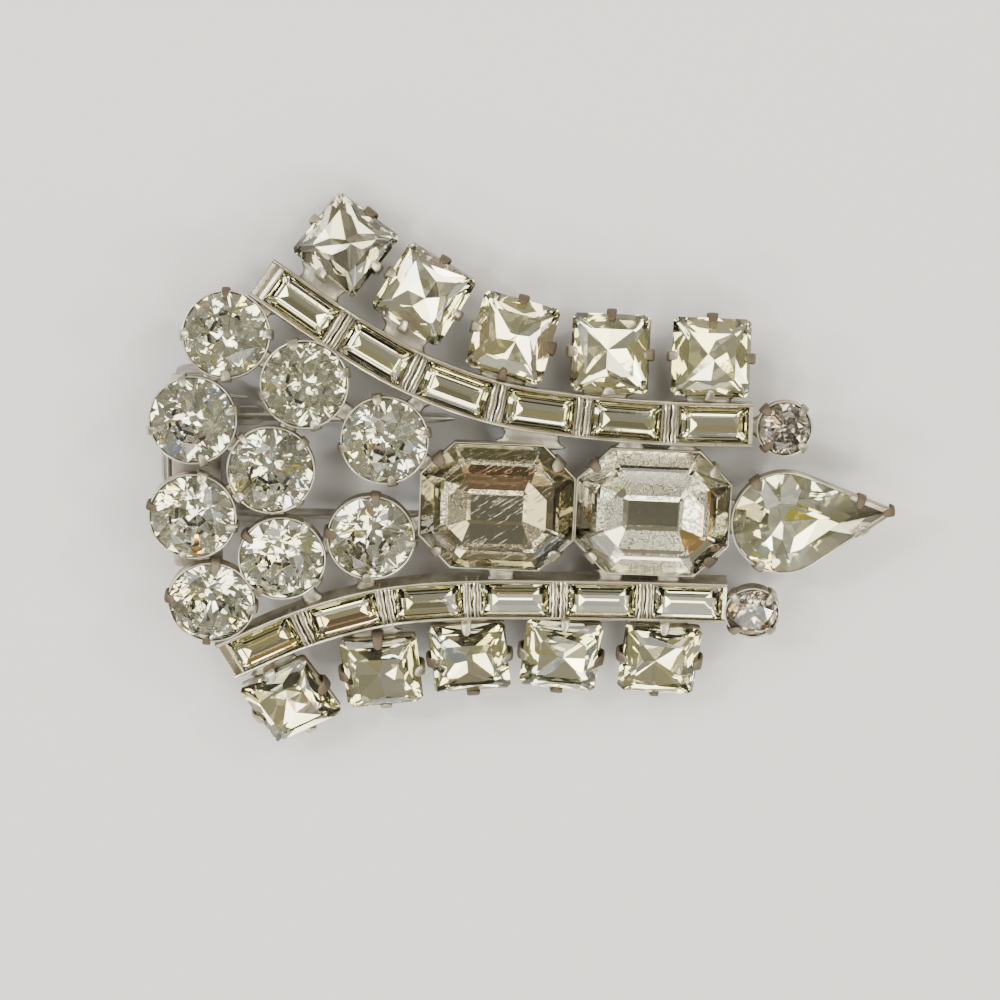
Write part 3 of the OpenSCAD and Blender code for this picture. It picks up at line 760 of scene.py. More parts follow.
def claw(bm, place, rise, run, metal, seed, wide=1.0, root=0.18, reach=1.0, painted_dark_reflection=0.0):
    """A claw at a stone's edge: up the cup's side, over the girdle and down onto the crown."""
    draw = random.Random(seed)
    slope = rise / run
    lean = math.degrees(math.atan(slope))
    lap = metal.claw_lap * reach * draw.uniform(0.75, 1.2)
    half_w = metal.claw_width / 2 * wide * draw.uniform(0.8, 1.2)
    half_t = metal.claw_thick / 2
    out = metal.stone_gap + metal.wall + half_t * 0.8
    over = GIRDLE + metal.claw_gap * math.hypot(1, slope) + half_t * math.hypot(1, slope)
    # Each step: out from the stone's edge, height, bend in degrees, and shares of the width and thickness
    path = [(out - root, -metal.claw_drop, 0, 1.0, 0.5), (out, -metal.claw_drop + 0.45, 0, 1.1, 0.9),
            (out, -0.15, 0, 1.05, 1.0), (out - 0.05, over - 0.16, 16, 1.0, 0.95),
            (out - 0.20, over + slope * 0.03, 42 + lean * 0.3, 0.92, 0.9),
            (-lap * 0.40, over + slope * lap * 0.40, 90 - lean, 0.86, 0.85),
            (-lap * 0.80, over + slope * lap * 0.80, 90 - lean, 0.66, 0.72),
            (-lap * 1.05, over + slope * lap * 1.05 - 0.03, 90 - lean, 0.28, 0.35)]
    steps = []
    for x, z, bend, w, t in path:
        steps.append(place @ shift(x=x, z=z) @ turn_about("Y", -bend)
                     @ stretch(half_t * t, half_w * w) @ turn_about("Z", draw.uniform(-2, 2)))
    # A circle pushed out towards its corners
    outline = [(math.copysign(abs(x) ** 0.6, x), math.copysign(abs(y) ** 0.6, y)) for x, y in circle(12)]
    # A claw's tarnish is at least its painted dark reflection, which darkens and browns it
    tarnish(bm, sweep(bm, outline, steps), max(draw.choice((0.2, 0.35, 0.6, 0.9)), painted_dark_reflection), seed)


def round_blob(bm, place, rx, ry, rz):
    """A ball of solder, stretched along its three axes."""
    made = bmesh.ops.create_uvsphere(bm, u_segments=16, v_segments=8, radius=1.0)
    bmesh.ops.transform(bm, matrix=place @ stretch(rx, ry, rz), verts=made["verts"])


def web(bm, p, q, up, reach_p, reach_q, width, metal):
    """Solder from one cup's wall to another's, swelling at both ends and sunk into both walls."""
    sunk = 0.28
    way = q - p
    run = way.length / MM
    x = (way - up * way.dot(up)).normalized()
    place = axes(x, up.cross(x), up, p)
    start, end = reach_p - sunk, run - reach_q + sunk
    span = end - start
    height = -metal.web_drop - metal.web_thick / 2
    steps = []
    for share, swell in ((0.0, 1.25), (0.25, 1.0), (0.5, 0.92), (0.75, 1.0), (1.0, 1.25)):
        steps.append(place @ shift(start + span * share, 0, height) @ turn_about("Y", 90)
                     @ stretch(metal.web_thick / 2 * swell, width / 2 * swell))
    sweep(bm, circle(16), steps)
    for at in (start, end):
        round_blob(bm, place @ shift(at, 0, height), 0.35, width * 0.62, metal.web_thick * 0.62)


def melt(thing, voxel, rounds):
    """Runs the separate shapes of a piece into one smooth skin, on a grid of voxels in mm."""
    remesh = thing.modifiers.new("melt", "REMESH")
    remesh.mode = "VOXEL"
    remesh.voxel_size = voxel * MM
    smooth = thing.modifiers.new("settle", "SMOOTH")
    smooth.factor = 0.5
    smooth.iterations = rounds
    mesh = bpy.data.meshes.new_from_object(thing.evaluated_get(bpy.context.evaluated_depsgraph_get()))
    finishes = list(thing.data.materials)
    thing.modifiers.clear()
    thing.data = mesh
    mesh.materials.clear()
    for finish in finishes:
        mesh.materials.append(finish)
    mesh.shade_smooth()


# Hinge

# Width of the softened edges of the hinge's pieces, in mm
SOFT = 0.06


def barrel_span(hinge):
    """Where the fork's barrel starts and ends along the pin; the spring's coil takes up the rest."""
    inside = hinge.bracket_width - 2 * hinge.ear_thick
    coil = (hinge.spring_turns + 1) * hinge.spring_wire * hinge.spring_pitch
    start = hinge.side_gap - inside / 2
    return start, start + inside - coil - 3 * hinge.side_gap


def slab(bm, plan, place, half_t, faces):
    """A flat plate whose two faces are drawn in, along and across, to give it soft edges."""
    steps = ((-half_t, faces), (SOFT - half_t, (1, 1)), (half_t - SOFT, (1, 1)), (half_t, faces))
    sweep(bm, plan, [place @ shift(z=z) @ stretch(*shares) for z, shares in steps])


# Properties

def in_mm(name, description, default, **limits):
    """A length that the user may change. Blender's own units are metres, so the description says mm."""
    return bpy.props.FloatProperty(
        name=name, description=f"{description}, in mm", default=default, **limits)


def color_choice(name, description, default):
    """A colour that the user may change."""
    return bpy.props.FloatVectorProperty(
        name=name, description=description, default=default, subtype="COLOR")


class ClipStones(bpy.types.PropertyGroup):
    """Cut and tints of the stones."""

    round_table: bpy.props.FloatProperty(
        name="Round table", description="Share of a round stone's width that its table takes",
        default=0.56, min=0.4, max=0.7, subtype="FACTOR")
    small_table: bpy.props.FloatProperty(
        name="Small table", description="Share of a small round stone's width that its table takes",
        default=0.60, min=0.4, max=0.7, subtype="FACTOR")
    seed: bpy.props.IntProperty(
        name="Facet seed", description="Seed of the shades that the facets take", default=7, min=0)
    clear_tint: color_choice("Clear glass", "Tint of the round stones' glass", (0.985, 0.98, 0.93))
    straw_tint: color_choice(
        "Straw glass", "Tint of the square, baguette and pear stones' glass", (0.985, 0.97, 0.83))
    smoky_tint: color_choice("Smoky glass", "Tint of the octagons' glass", (0.95, 0.93, 0.80))
    cloudy_tint: color_choice("Cloudy glass", "Tint of the small round stones' glass", (0.94, 0.92, 0.86))


class ClipMetal(bpy.types.PropertyGroup):
    """Sizes and colours of the setting."""

    stone_gap: in_mm("Stone gap", "Gap between a stone's girdle and its cup", 0.02)
    wall: in_mm("Cup wall", "Wall of a cup", 0.14, min=0.1)
    bar_wall: in_mm("Bar wall", "Wall of a channel bar", 0.29, min=0.1)
    end_wall: in_mm("End wall", "Wall that closes a bar's end", 0.29, min=0.1)
    floor: in_mm("Cup floor", "Thickness of a cup's floor", 0.40, min=0.1)
    rim: in_mm("Rim", "Height of a cup's rim over the girdle", 0.14)
    octagon_wall: in_mm("Octagon wall", "Wall of an octagon's cup", 0.10)
    octagon_rim: in_mm("Octagon rim", "Height of an octagon cup's rim over the girdle", 0.0)
    tuck: in_mm("Tuck", "Distance that a square stone overhangs its cup", 0.10)
    tuck_rim: in_mm("Tucked rim", "Depth of a square cup's rim under the girdle", 0.30)
    collar: in_mm("Collar", "Depth of a cup's upright wall", 0.80)
    foot_share: bpy.props.FloatProperty(
        name="Foot", description="Share of a cup's outline that its foot keeps", default=0.55,
        subtype="FACTOR")
    claw_width: in_mm("Claw width", "Width of a claw", 0.76, min=0.3)
    claw_thick: in_mm("Claw thickness", "Thickness of a claw", 0.30, min=0.1)
    claw_lap: in_mm("Claw lap", "Reach of a claw over its stone", 0.48, min=0.1)
    claw_gap: in_mm("Claw gap", "Gap between a claw and its stone", 0.05)
    claw_drop: in_mm("Claw drop", "Depth that a claw runs down its cup", 0.95)
    web_drop: in_mm("Web drop", "Depth of the webs below the girdle", 0.32)
    web_thick: in_mm("Web thickness", "Thickness of the webs", 0.80)
    web_width: in_mm("Web width", "Width of the webs", 1.50)
    voxel: in_mm("Solder grid", "Grid that the solder is run together on", 0.11)
    plate_color: color_choice("Plating", "Colour of the setting's bright plating", (0.62, 0.58, 0.465))
    solder_color: color_choice("Solder", "Colour of the solder where it is bright", (0.25, 0.23, 0.178))


class ClipHinge(bpy.types.PropertyGroup):
    """Sizes and colour of the bracket, the pin, the fork and its spring."""

    bracket_width: in_mm("Bracket width", "Width of the bracket along the pin", 15.4)
    bracket_length: in_mm("Bracket length", "Length of the bracket's plate along the face", 3.8)
    bracket_level: in_mm("Bracket level", "Height of the bracket's plate over the pin", 1.9)
    bracket_thick: in_mm("Bracket thickness", "Thickness of the bracket's plate", 0.7)
    ear_thick: in_mm("Ear thickness", "Thickness of the bracket's ears", 0.7)
    ear_radius: in_mm("Ear radius", "Radius of the ears' round ends", 1.25)
    pin_radius: in_mm("Pin radius", "Radius of the hinge pin", 0.45)
    barrel_radius: in_mm("Barrel radius", "Radius of the fork's barrel", 1.1)
    side_gap: in_mm("Hinge gap", "Gap between the moving pieces on the pin", 0.08)
    prong_spacing: in_mm("Prong spacing", "Distance between the two prongs", 7.9)
    prong_length: in_mm("Prong length", "Distance from the pin to a prong's tip", 20.45)
    prong_lean: bpy.props.FloatProperty(
        name="Prong lean", description="Rise of the prongs towards the face", default=math.radians(4),
        subtype="ANGLE")
    tab_length: in_mm("Tab length", "Distance from the pin to the end of a prong's tab", 5.6)
    tab_width: in_mm("Tab width", "Width of the tab that carries a prong", 1.5)
    tab_thick: in_mm("Tab thickness", "Thickness of the tab that carries a prong", 0.6)
    thumb_length: in_mm("Thumb plate length", "Distance from the pin to the thumb plate's edge", 2.66)
    thumb_width: in_mm("Thumb plate width", "Width of the thumb plate", 5.6)
    thumb_thick: in_mm("Thumb plate thickness", "Thickness of the thumb plate", 0.56)
    thumb_lean: bpy.props.FloatProperty(
        name="Thumb plate lean", description="Rise of the thumb plate towards the face",
        default=math.radians(18), subtype="ANGLE")
    spring_wire: in_mm("Spring wire", "Thickness of the spring's wire", 0.3)
    spring_turns: bpy.props.FloatProperty(
        name="Spring turns", description="Turns of the spring round the pin", default=3.5)
    spring_pitch: bpy.props.FloatProperty(
        name="Spring pitch", description="Step from turn to turn, as a share of the wire", default=1.2)
    steel_color: color_choice(
        "Fork metal", "Colour of the bracket, the pin, the fork and the spring", (0.62, 0.60, 0.56))


class ClipStage(bpy.types.PropertyGroup):
    """Floor, lights and camera."""

    floor_color: color_choice("Floor", "Colour of the floor", (0.70, 0.69, 0.67))
    camera_distance: bpy.props.FloatProperty(
        name="Camera distance", description="Distance of the camera from the clip, in metres",
        default=0.30, unit="LENGTH")
    camera_lean: bpy.props.FloatProperty(
        name="Camera lean", description="Lean of the view from square on, towards the top edge",
        default=math.radians(15), subtype="ANGLE")
    view_width: bpy.props.FloatProperty(
        name="View width", description="Width of what the camera sees, in metres", default=0.07692,
        unit="LENGTH")
    light: bpy.props.FloatProperty(
        name="Light", description="Strength of the softboxes", default=3.35, min=0.0)
    sky: bpy.props.FloatProperty(
        name="Sky", description="Glow of the studio around the softboxes", default=0.28, min=0.0)
    sky_color: color_choice("Sky colour", "Colour of the studio around the softboxes", (1.0, 0.97, 0.88))


# Operators

class ClipPiece:
    """What every operator of the clip shares: it builds from the groups of properties that it reads."""

    bl_options = {"REGISTER", "UNDO"}
    reads = ("clip_stones",)

    def execute(self, context):
        self.build(*(getattr(context.scene, group) for group in self.reads))
        return {"FINISHED"}


class CLIP_OT_round_stones(ClipPiece, bpy.types.Operator):
    """Cuts the fan's round stones and the two small ones at the bars' ends."""

    bl_idname = "clip.round_stones"
    bl_label = "Round stones"

    def build(self, stones):
        for i, name in enumerate(ROUNDS):
            brilliant(SEATS[name], stones.seed + i, ("clear_glass", "clear_foil"),
                      stones.round_table)
        for i, name in enumerate(SMALLS, SEEDS["small_rounds"]):
            brilliant(SEATS[name], stones.seed + i, ("cloudy_glass", "cloudy_foil"),
                      stones.small_table, sides=6)


class CLIP_OT_square_stones(ClipPiece, bpy.types.Operator):
    """Cuts the square stones along the outer sides of the bars."""

    bl_idname = "clip.square_stones"
    bl_label = "Square stones"

    # The stone whose foil has greyed and carries painted shade, and the one whose back is the most uneven
    greyed = "square_stone_5"
    roughest = "square_stone_10"

    def build(self, stones):
        for i, name in enumerate(SQUARES, SEEDS["squares"]):
            back = "greyed_foil" if name == self.greyed else "straw_foil"
            cross_cut(SEATS[name], stones.seed + i, back, 0.16 if name == self.roughest else 0.10)


class CLIP_OT_baguettes(ClipPiece, bpy.types.Operator):
    """Cuts the baguettes of the two channel bars."""

    bl_idname = "clip.baguettes"
    bl_label = "Baguettes"

    def build(self, stones):
        for i, name in enumerate(BAGUETTES, SEEDS["baguettes"]):
            seat = SEATS[name]
            c, d = seat.crown, seat.depth
            steps = ((0.46, c), (0.22, c * 0.64), (0.0, GIRDLE), (0.0, -GIRDLE), (0.24, -d * 0.30),
                     (0.30, -d * 0.33), (0.54, -d * 0.415), (0.62, -d * 0.435), (0.94, -d * 0.47))
            step_stone(seat, stones.seed + i, steps, ("straw_glass", "bar_foil"),
                       corner=0.08, back_corner=0.5)


class CLIP_OT_octagons(ClipPiece, bpy.types.Operator):
    """Cuts the two octagons of the middle row."""

    bl_idname = "clip.octagons"
    bl_label = "Octagons"

    def build(self, stones):
        for i, name in enumerate(OCTAGONS):
            seat = SEATS[name]
            c, d = seat.crown, seat.depth
            steps = ((0.42, c), (0.22, c * 0.66), (0.0, GIRDLE), (0.0, -GIRDLE), (0.36, -d * 0.195),
                     (0.42, -d * 0.218), (0.72, -d * 0.305), (0.78, -d * 0.314), (0.80, -d * 0.315))
            finishes = ("smoky_glass", ("brown_foil", "crazed_foil")[i])
            step_stone(seat, stones.seed + SEEDS["octagons"] + i, steps, finishes,
                       corner=OCTAGON_CUT, back_corner=1.25)


class CLIP_OT_pear_stone(ClipPiece, bpy.types.Operator):
    """Cuts the pear that points away from the fan."""

    bl_idname = "clip.pear_stone"
    bl_label = "Pear stone"

    def build(self, stones):
        pear_stone_cut(SEATS[PEAR], stones.seed + SEEDS["pear"])


class CLIP_OT_cups(ClipPiece, bpy.types.Operator):
    """Makes the cups that hold the stones, apart from the baguettes' bars."""

    bl_idname = "clip.cups"
    bl_label = "Cups"
    reads = ("clip_metal",)

    def build(self, metal):
        bm = metal_mesh()
        for i, name in enumerate(ROUNDS + SMALLS + SQUARES + OCTAGONS + [PEAR], SEEDS["cups"]):
            seat = SEATS[name]
            Cup(seat, outline_of(seat), seat.depth + metal.floor, metal).build(bm, i)
        piece("cups", bm, "clip", "setting", ["setting_plate"])


class CLIP_OT_claws(ClipPiece, bpy.types.Operator):
    """Bends the claws over the stones' edges."""

    bl_idname = "clip.claws"
    bl_label = "Claws"
    reads = ("clip_stones", "clip_metal")

    # Run of the crown's slope from the edge inwards, as a share of the half width
    square_slope = 0.32
    octagon_slope = 0.42
    pear_slope = 0.44
    # The pear's lip: out from the tip's edge and height, once round its section
    lip = ((0.03, -0.3), (0.24, -0.3), (0.24, 0.16), (0.10, 0.30), (-0.16, 0.34), (-0.20, 0.26),
           (0.03, 0.12))

    def build(self, stones, metal):
        bm = metal_mesh()
        seed = SEEDS["claws"]
        for name in ROUNDS + SMALLS + SQUARES:
            seat = SEATS[name]
            for a in (0, 90, 180, 270):
                place = seat.matrix @ turn_about("Z", a) @ shift(seat.half_l)
                if name in SQUARES:
                    # The claws at the clip's upper edge are the brownest and darkest: a painted dark
                    # reflection
                    painted_dark_reflection = 1.05 if a == 90 and name in SQUARES[:5] else 0.0
                    claw(bm, place, seat.crown, seat.half_l * self.square_slope, metal, seed + a,
                         wide=1.15, root=0.42, reach=0.8, painted_dark_reflection=painted_dark_reflection)
                else:
                    claw(bm, place, seat.crown, seat.half_l * (1 - stones.round_table), metal, seed + a)
            seed += 1
        for name in OCTAGONS:
            seat = SEATS[name]
            run = seat.half_w * self.octagon_slope
            for x, y in ((1, 1), (-1, 1), (-1, -1), (1, -1)):
                corner = shift(x * (seat.half_l - OCTAGON_CUT / 2), y * (seat.half_w - OCTAGON_CUT / 2))
                place = seat.matrix @ corner @ turn_about("Z", math.degrees(math.atan2(y, x)))
                claw(bm, place, seat.crown, run, metal, seed + int(x * 2 + y), wide=1.3)
            seed += 1
        self.pear_claws(bm, SEATS[PEAR], metal, seed)
        piece("claws", bm, "clip", "setting", ["setting_plate"], smooth=60)

    def pear_claws(self, bm, seat, metal, seed):
        """Two claws at the round end, one on each side, one at the tip, and the lip round the tip."""
        run = seat.half_w * self.pear_slope
        side = math.degrees(math.acos(seat.half_w / seat.reach))
        for a in (118, 235):
            claw(bm, seat.matrix @ turn_about("Z", a) @ shift(seat.half_w), seat.crown, run, metal, seed + a)
        for a in (side, -side):
            place = seat.matrix @ shift(seat.reach * 0.66) @ turn_about("Z", a) @ shift(seat.half_w * 0.34)
            claw(bm, place, seat.crown, run, metal, seed + int(a))
        tip = seat.matrix @ shift(seat.reach)
        claw(bm, tip, seat.crown, run * seat.reach / seat.half_w, metal, seed, wide=0.9)
        for hand in (1, -1):
            section = [(hand * y, z) for y, z in self.lip]
            along = tip @ turn_about("Z", hand * (side - 90))
            steps = [along @ shift(x) @ STAND for x in (-3.3, -2.0, -0.9, 0.1)]
            tarnish(bm, sweep(bm, section, steps), 0.45, seed + hand)


class CLIP_OT_channel_bars(ClipPiece, bpy.types.Operator):
    """Draws the two channel bars along their baguettes, with the ribbed spacers between the stones."""

    bl_idname = "clip.channel_bars"
    bl_label = "Channel bars"
    reads = ("clip_metal",)

    # Length that each bar runs on past its last stone, in mm
    caps = (0.9, 0.6)
    # A rib's section: along the bar and height
    crest = ((-0.32, -0.3), (-0.31, 0.12), (-0.22, 0.38), (-0.11, 0.42), (0.0, 0.20), (0.10, 0.38),
             (0.20, 0.34), (0.29, 0.12), (0.31, -0.3))
    # A rib's places across the bar, as shares of its half width, and how far it drops there
    rib = ((-1.0, 0.40), (-0.84, 0.14), (-0.6, 0.05), (-0.35, 0.0), (-0.1, 0.04), (0.15, 0.0),
           (0.4, 0.04), (0.6, 0.02), (0.84, 0.14), (1.0, 0.40))

    def build(self, metal):
        for bar, names in enumerate(BARS):
            bm = metal_mesh()
            seats = [SEATS[name] for name in names]
            self.channel(bm, seats, metal, self.caps[bar])
            for first, second in zip(seats, seats[1:]):
                self.spacer(bm, first, second, metal)
            name = ("upper_bar", "lower_bar")[bar]
            piece(name, bm, "clip", "setting", ["setting_plate"])

    def channel(self, bm, seats, metal, cap):
        """A U section: a bead and a groove run along the top of each side."""
        half = seats[0].half_w + metal.stone_gap
        outer = half + metal.bar_wall
        low = seats[0].depth + metal.floor
        # One side's section, up the outside, over the bead and the groove and down the inside
        side = [(outer, -low + 0.12), (outer, 0.04), (outer - 0.05, 0.15), (outer - 0.13, 0.20),
                (outer - 0.21, 0.15), (outer - 0.25, 0.10), (outer - 0.30, 0.17), (half, 0.12),
                (half, -seats[0].depth - metal.stone_gap)]
        mirrored = [(-y, z) for y, z in reversed(side)]
        section = side + mirrored + [(-outer + 0.12, -low), (outer - 0.12, -low)]
        reach = seats[0].half_l + metal.stone_gap + metal.end_wall
        steps = [seats[0].matrix @ shift(reach) @ STAND]
        for first, second in zip(seats, seats[1:]):
            steps += [self.station(first, second, k / 6) @ STAND for k in range(6)]
        last = seats[-1].matrix
        steps += [last @ STAND, last @ shift(-reach - cap) @ STAND]
        tarnish(bm, sweep(bm, section, steps), 0.3, SEEDS["bars"])
        # Cross walls: one before the first stone, one behind the last, and one that closes the open end
        wall = [(-half, -1.2), (half, -1.2), (half, 0.02), (-half, 0.02)]
        inner = seats[0].half_l + metal.stone_gap
        ends = ((seats[0], inner, inner + metal.end_wall), (seats[-1], -inner, -inner - metal.wall),
                (seats[-1], metal.wall - reach - cap, -reach - cap))
        for seat, x1, x2 in ends:
            sweep(bm, wall, [seat.matrix @ shift(x) @ STAND for x in (x1, x2)])
        self.scoop(bm, seats[-1], -inner - metal.wall, metal.wall - reach - cap, half)

    def scoop(self, bm, seat, x1, x2, half):
        """The bright sheet that slopes up inside a bar's open end."""
        sheet = [(x1, -0.5), (x1 + (x2 - x1) * 0.35, -0.55), (x2, -0.15), (x2, -1.3), (x1, -1.3)]
        sweep(bm, sheet, [seat.matrix @ shift(y=y) @ LIE for y in (-half, half)])

    def station(self, first, second, t):
        """A place on the smooth curve that runs through the middles of two neighbouring stones."""
        place = between(first.matrix, second.matrix, t)
        span = (second.origin - first.origin).length
        way_1, way_2 = (-seat.matrix.col[0].to_3d().normalized() * span for seat in (first, second))
        place.translation = (
            first.origin * (2 * t ** 3 - 3 * t ** 2 + 1) + way_1 * (t ** 3 - 2 * t ** 2 + t)
            + second.origin * (3 * t ** 2 - 2 * t ** 3) + way_2 * (t ** 3 - t ** 2))
        return place

    def spacer(self, bm, first, second, metal):
        """A block across the channel with two creased ribs."""
        half = first.half_w + metal.stone_gap + 0.05
        wide = half + metal.bar_wall - 0.06
        place = self.station(first, second, 0.5)
        gap = (first.origin - second.origin).length / MM - 2 * first.half_l - 2 * metal.stone_gap
        block = [(-half, -first.depth), (half, -first.depth), (half, -0.25), (-half, -0.25)]
        sweep(bm, block, [place @ shift(x) @ STAND for x in (-gap / 2, gap / 2)])
        draw = random.Random(first.name)
        for x in (-1, 1):
            across = []
            for share, drop in self.rib:
                waver = draw.uniform(0.0, 0.09)
                pinch = draw.uniform(0.75, 1.05)
                across.append(place @ shift(x * (gap / 2 - 0.34 - waver), wide * share, -drop)
                              @ turn_about("Z", draw.uniform(-8, 8)) @ LIE @ stretch(pinch))
            tarnish(bm, sweep(bm, self.crest, across), 0.15, SEEDS["ribs"])


class CLIP_OT_solder(ClipPiece, bpy.types.Operator):
    """Runs the solder webs and pads that join the cups and the bars."""

    bl_idname = "clip.solder"
    bl_label = "Solder"
    reads = ("clip_metal",)

    # How far the metal of the small rounds, the octagons and the pear stands out where webs meet it, in mm
    thin_wall = 0.3
    # The square stones' webs are this many times as wide as the fan's
    broad = 2.5
    # Widths of the webs on either side of the second octagon, in mm
    row_widths = (4.0, 2.4)
    # Rounds of the fan that are joined to each other, and then to which bar, all counted from 0
    fan_pairs = ((0, 1), (0, 2), (0, 3), (0, 4), (1, 5), (2, 5), (1, 6), (4, 7), (3, 8), (4, 8))
    fan_to_bar = ((5, 0), (1, 0), (6, 0), (8, 1), (4, 1), (7, 1))
    # Distance inside an octagon's edge that its pads are measured from, in mm
    inside = 1.0
    # Pads from the octagons to the bars: stone, place along it in mm, bar and width in mm
    row_pads = ((OCTAGONS[0], 2.3, 0, 4.6), (OCTAGONS[1], -2.0, 0, 2.2), (OCTAGONS[1], 2.0, 0, 2.2),
                (OCTAGONS[0], 0.5, 1, 2.2), (OCTAGONS[1], -3.0, 1, 2.0), (OCTAGONS[1], 1.5, 1, 2.0))

    def build(self, metal):
        bm = metal_mesh()
        thin = self.thin_wall
        cup = SEATS[ROUNDS[0]].half_l + metal.stone_gap + metal.wall
        bar_half = SEATS[BAGUETTES[0]].half_w + metal.stone_gap + metal.bar_wall
        for a, b in self.fan_pairs:
            self.link(bm, SEATS[ROUNDS[a]], SEATS[ROUNDS[b]].matrix, cup, cup, metal.web_width, metal)
        for a, bar in self.fan_to_bar:
            seat = SEATS[ROUNDS[a]]
            self.link(bm, seat, nearest_on_bar(seat.origin, bar), cup, bar_half, metal.web_width, metal)
        for i, name in enumerate(SQUARES):
            seat = SEATS[name]
            side = seat.half_w + metal.stone_gap + metal.wall
            there = nearest_on_bar(seat.origin, i // 5)
            self.link(bm, seat, there, side, bar_half, metal.web_width * self.broad, metal)
        for bar, name in enumerate(SMALLS):
            seat, last = SEATS[name], SEATS[BARS[bar][0]]
            self.link(bm, seat, last.matrix, seat.half_l + thin, last.half_l + thin, metal.web_width, metal)
        first, second, pear = (SEATS[name] for name in OCTAGONS + [PEAR])
        for seat in (SEATS[ROUNDS[6]], SEATS[ROUNDS[7]]):
            self.link(bm, seat, first.matrix, cup, first.half_l + thin, metal.web_width, metal)
        wide, narrow = self.row_widths
        self.link(bm, first, second.matrix, first.half_l + thin, first.half_l + thin, wide, metal)
        self.link(bm, second, pear.matrix, second.half_l + thin, pear.half_w + thin, narrow, metal)
        for name, x, bar, width in self.row_pads:
            seat = SEATS[name]
            edge = seat.matrix @ Vector((x, (1 - 2 * bar) * (seat.half_w - self.inside), 0))
            up = seat.matrix.col[2].to_3d().normalized()
            there = nearest_on_bar(edge, bar)
            web(bm, edge, there.translation, up, self.inside + thin, bar_half, width, metal)
        thing = piece("solder", bm, "clip", "setting", ["solder"], smooth=0)
        melt(thing, metal.voxel, rounds=4)

    def link(self, bm, seat, other, reach, other_reach, width, metal):
        """A web from a seat to another place; each reach is how far the metal there stands out already."""
        up = (seat.matrix.col[2] + other.col[2]).to_3d().normalized()
        web(bm, seat.origin, other.translation, up, reach, other_reach, width, metal)


class CLIP_OT_hinge_bracket(ClipPiece, bpy.types.Operator):
    """Makes the bracket behind the fan, whose ears hold the hinge pin."""

    bl_idname = "clip.hinge_bracket"
    bl_label = "Hinge bracket"
    reads = ("clip_hinge", "clip_metal")

    # A post's height over its cup's foot, and its radius
    post = ((-0.95, 1.3), (-0.6, 1.15), (-0.1, 1.25), (0.2, 1.4))

    def build(self, hinge, metal):
        place = hinge_frame()
        bm = metal_mesh()
        half, ear, ear_r = hinge.bracket_width / 2, hinge.ear_thick, hinge.ear_radius
        plate_low = hinge.bracket_level
        plate_high = plate_low + hinge.bracket_thick
        plate = cut_plan(hinge.bracket_length / 2, half, 0.35, 3)
        sweep(bm, plate, [place @ shift(0.3, 0, z) for z in (plate_low, plate_high)])
        round_end = [(-ear_r * math.cos(math.radians(a)), -ear_r * math.sin(math.radians(a)))
                     for a in range(15, 180, 15)]
        outline = [(-ear_r, 0.0)] + round_end + [
            (ear_r, 0.0), (ear_r, plate_high - 0.2), (-ear_r, plate_high - 0.2)]
        for y in (-half, half - ear):
            sweep(bm, outline, [place @ shift(0, y + t, 0) @ LIE for t in (0, ear)])
        for name in (ROUNDS[2], ROUNDS[3]):
            seat = SEATS[name]
            foot = -seat.depth - metal.floor
            sweep(bm, circle(24), [seat.matrix @ shift(z=foot + z) @ stretch(r, r) for z, r in self.post])
        tarnish(bm, bm.verts, 0.5, SEEDS["bracket"])
        edges = [e for e in bm.edges if e.is_manifold and e.calc_face_angle() > 1.0]
        bmesh.ops.bevel(bm, geom=edges, offset=SOFT * MM, segments=2, profile=0.5, affect="EDGES",
                        material=-1, clamp_overlap=True)
        piece("hinge_bracket", bm, "clip", "setting", ["fork_steel"])


class CLIP_OT_hinge_pin(ClipPiece, bpy.types.Operator):
    """Makes the hinge pin with its riveted ends."""

    bl_idname = "clip.hinge_pin"
    bl_label = "Hinge pin"
    reads = ("clip_hinge",)

    # Distance that the pin stands out of each ear, in mm
    stands_out = 0.05
    # A riveted end: the distance from its tip, and how much slimmer than the pin it is there
    rivet = ((0.0, 0.17), (0.06, 0.05), (0.14, 0.0))

    def build(self, hinge):
        place = hinge_frame()
        bm = metal_mesh()
        tip = hinge.bracket_width / 2 + self.stands_out
        ends = [(y, hinge.pin_radius - slimmer) for y, slimmer in self.rivet]
        path = [(y - tip, r) for y, r in ends] + [(tip - y, r) for y, r in reversed(ends)]
        steps = [place @ shift(0, y, 0) @ LIE @ stretch(r, r) for y, r in path]
        tarnish(bm, sweep(bm, circle(24), steps), 0.3, SEEDS["pin"])
        piece("riveted_pin", bm, "clip", "hinge_pin", ["fork_steel"])


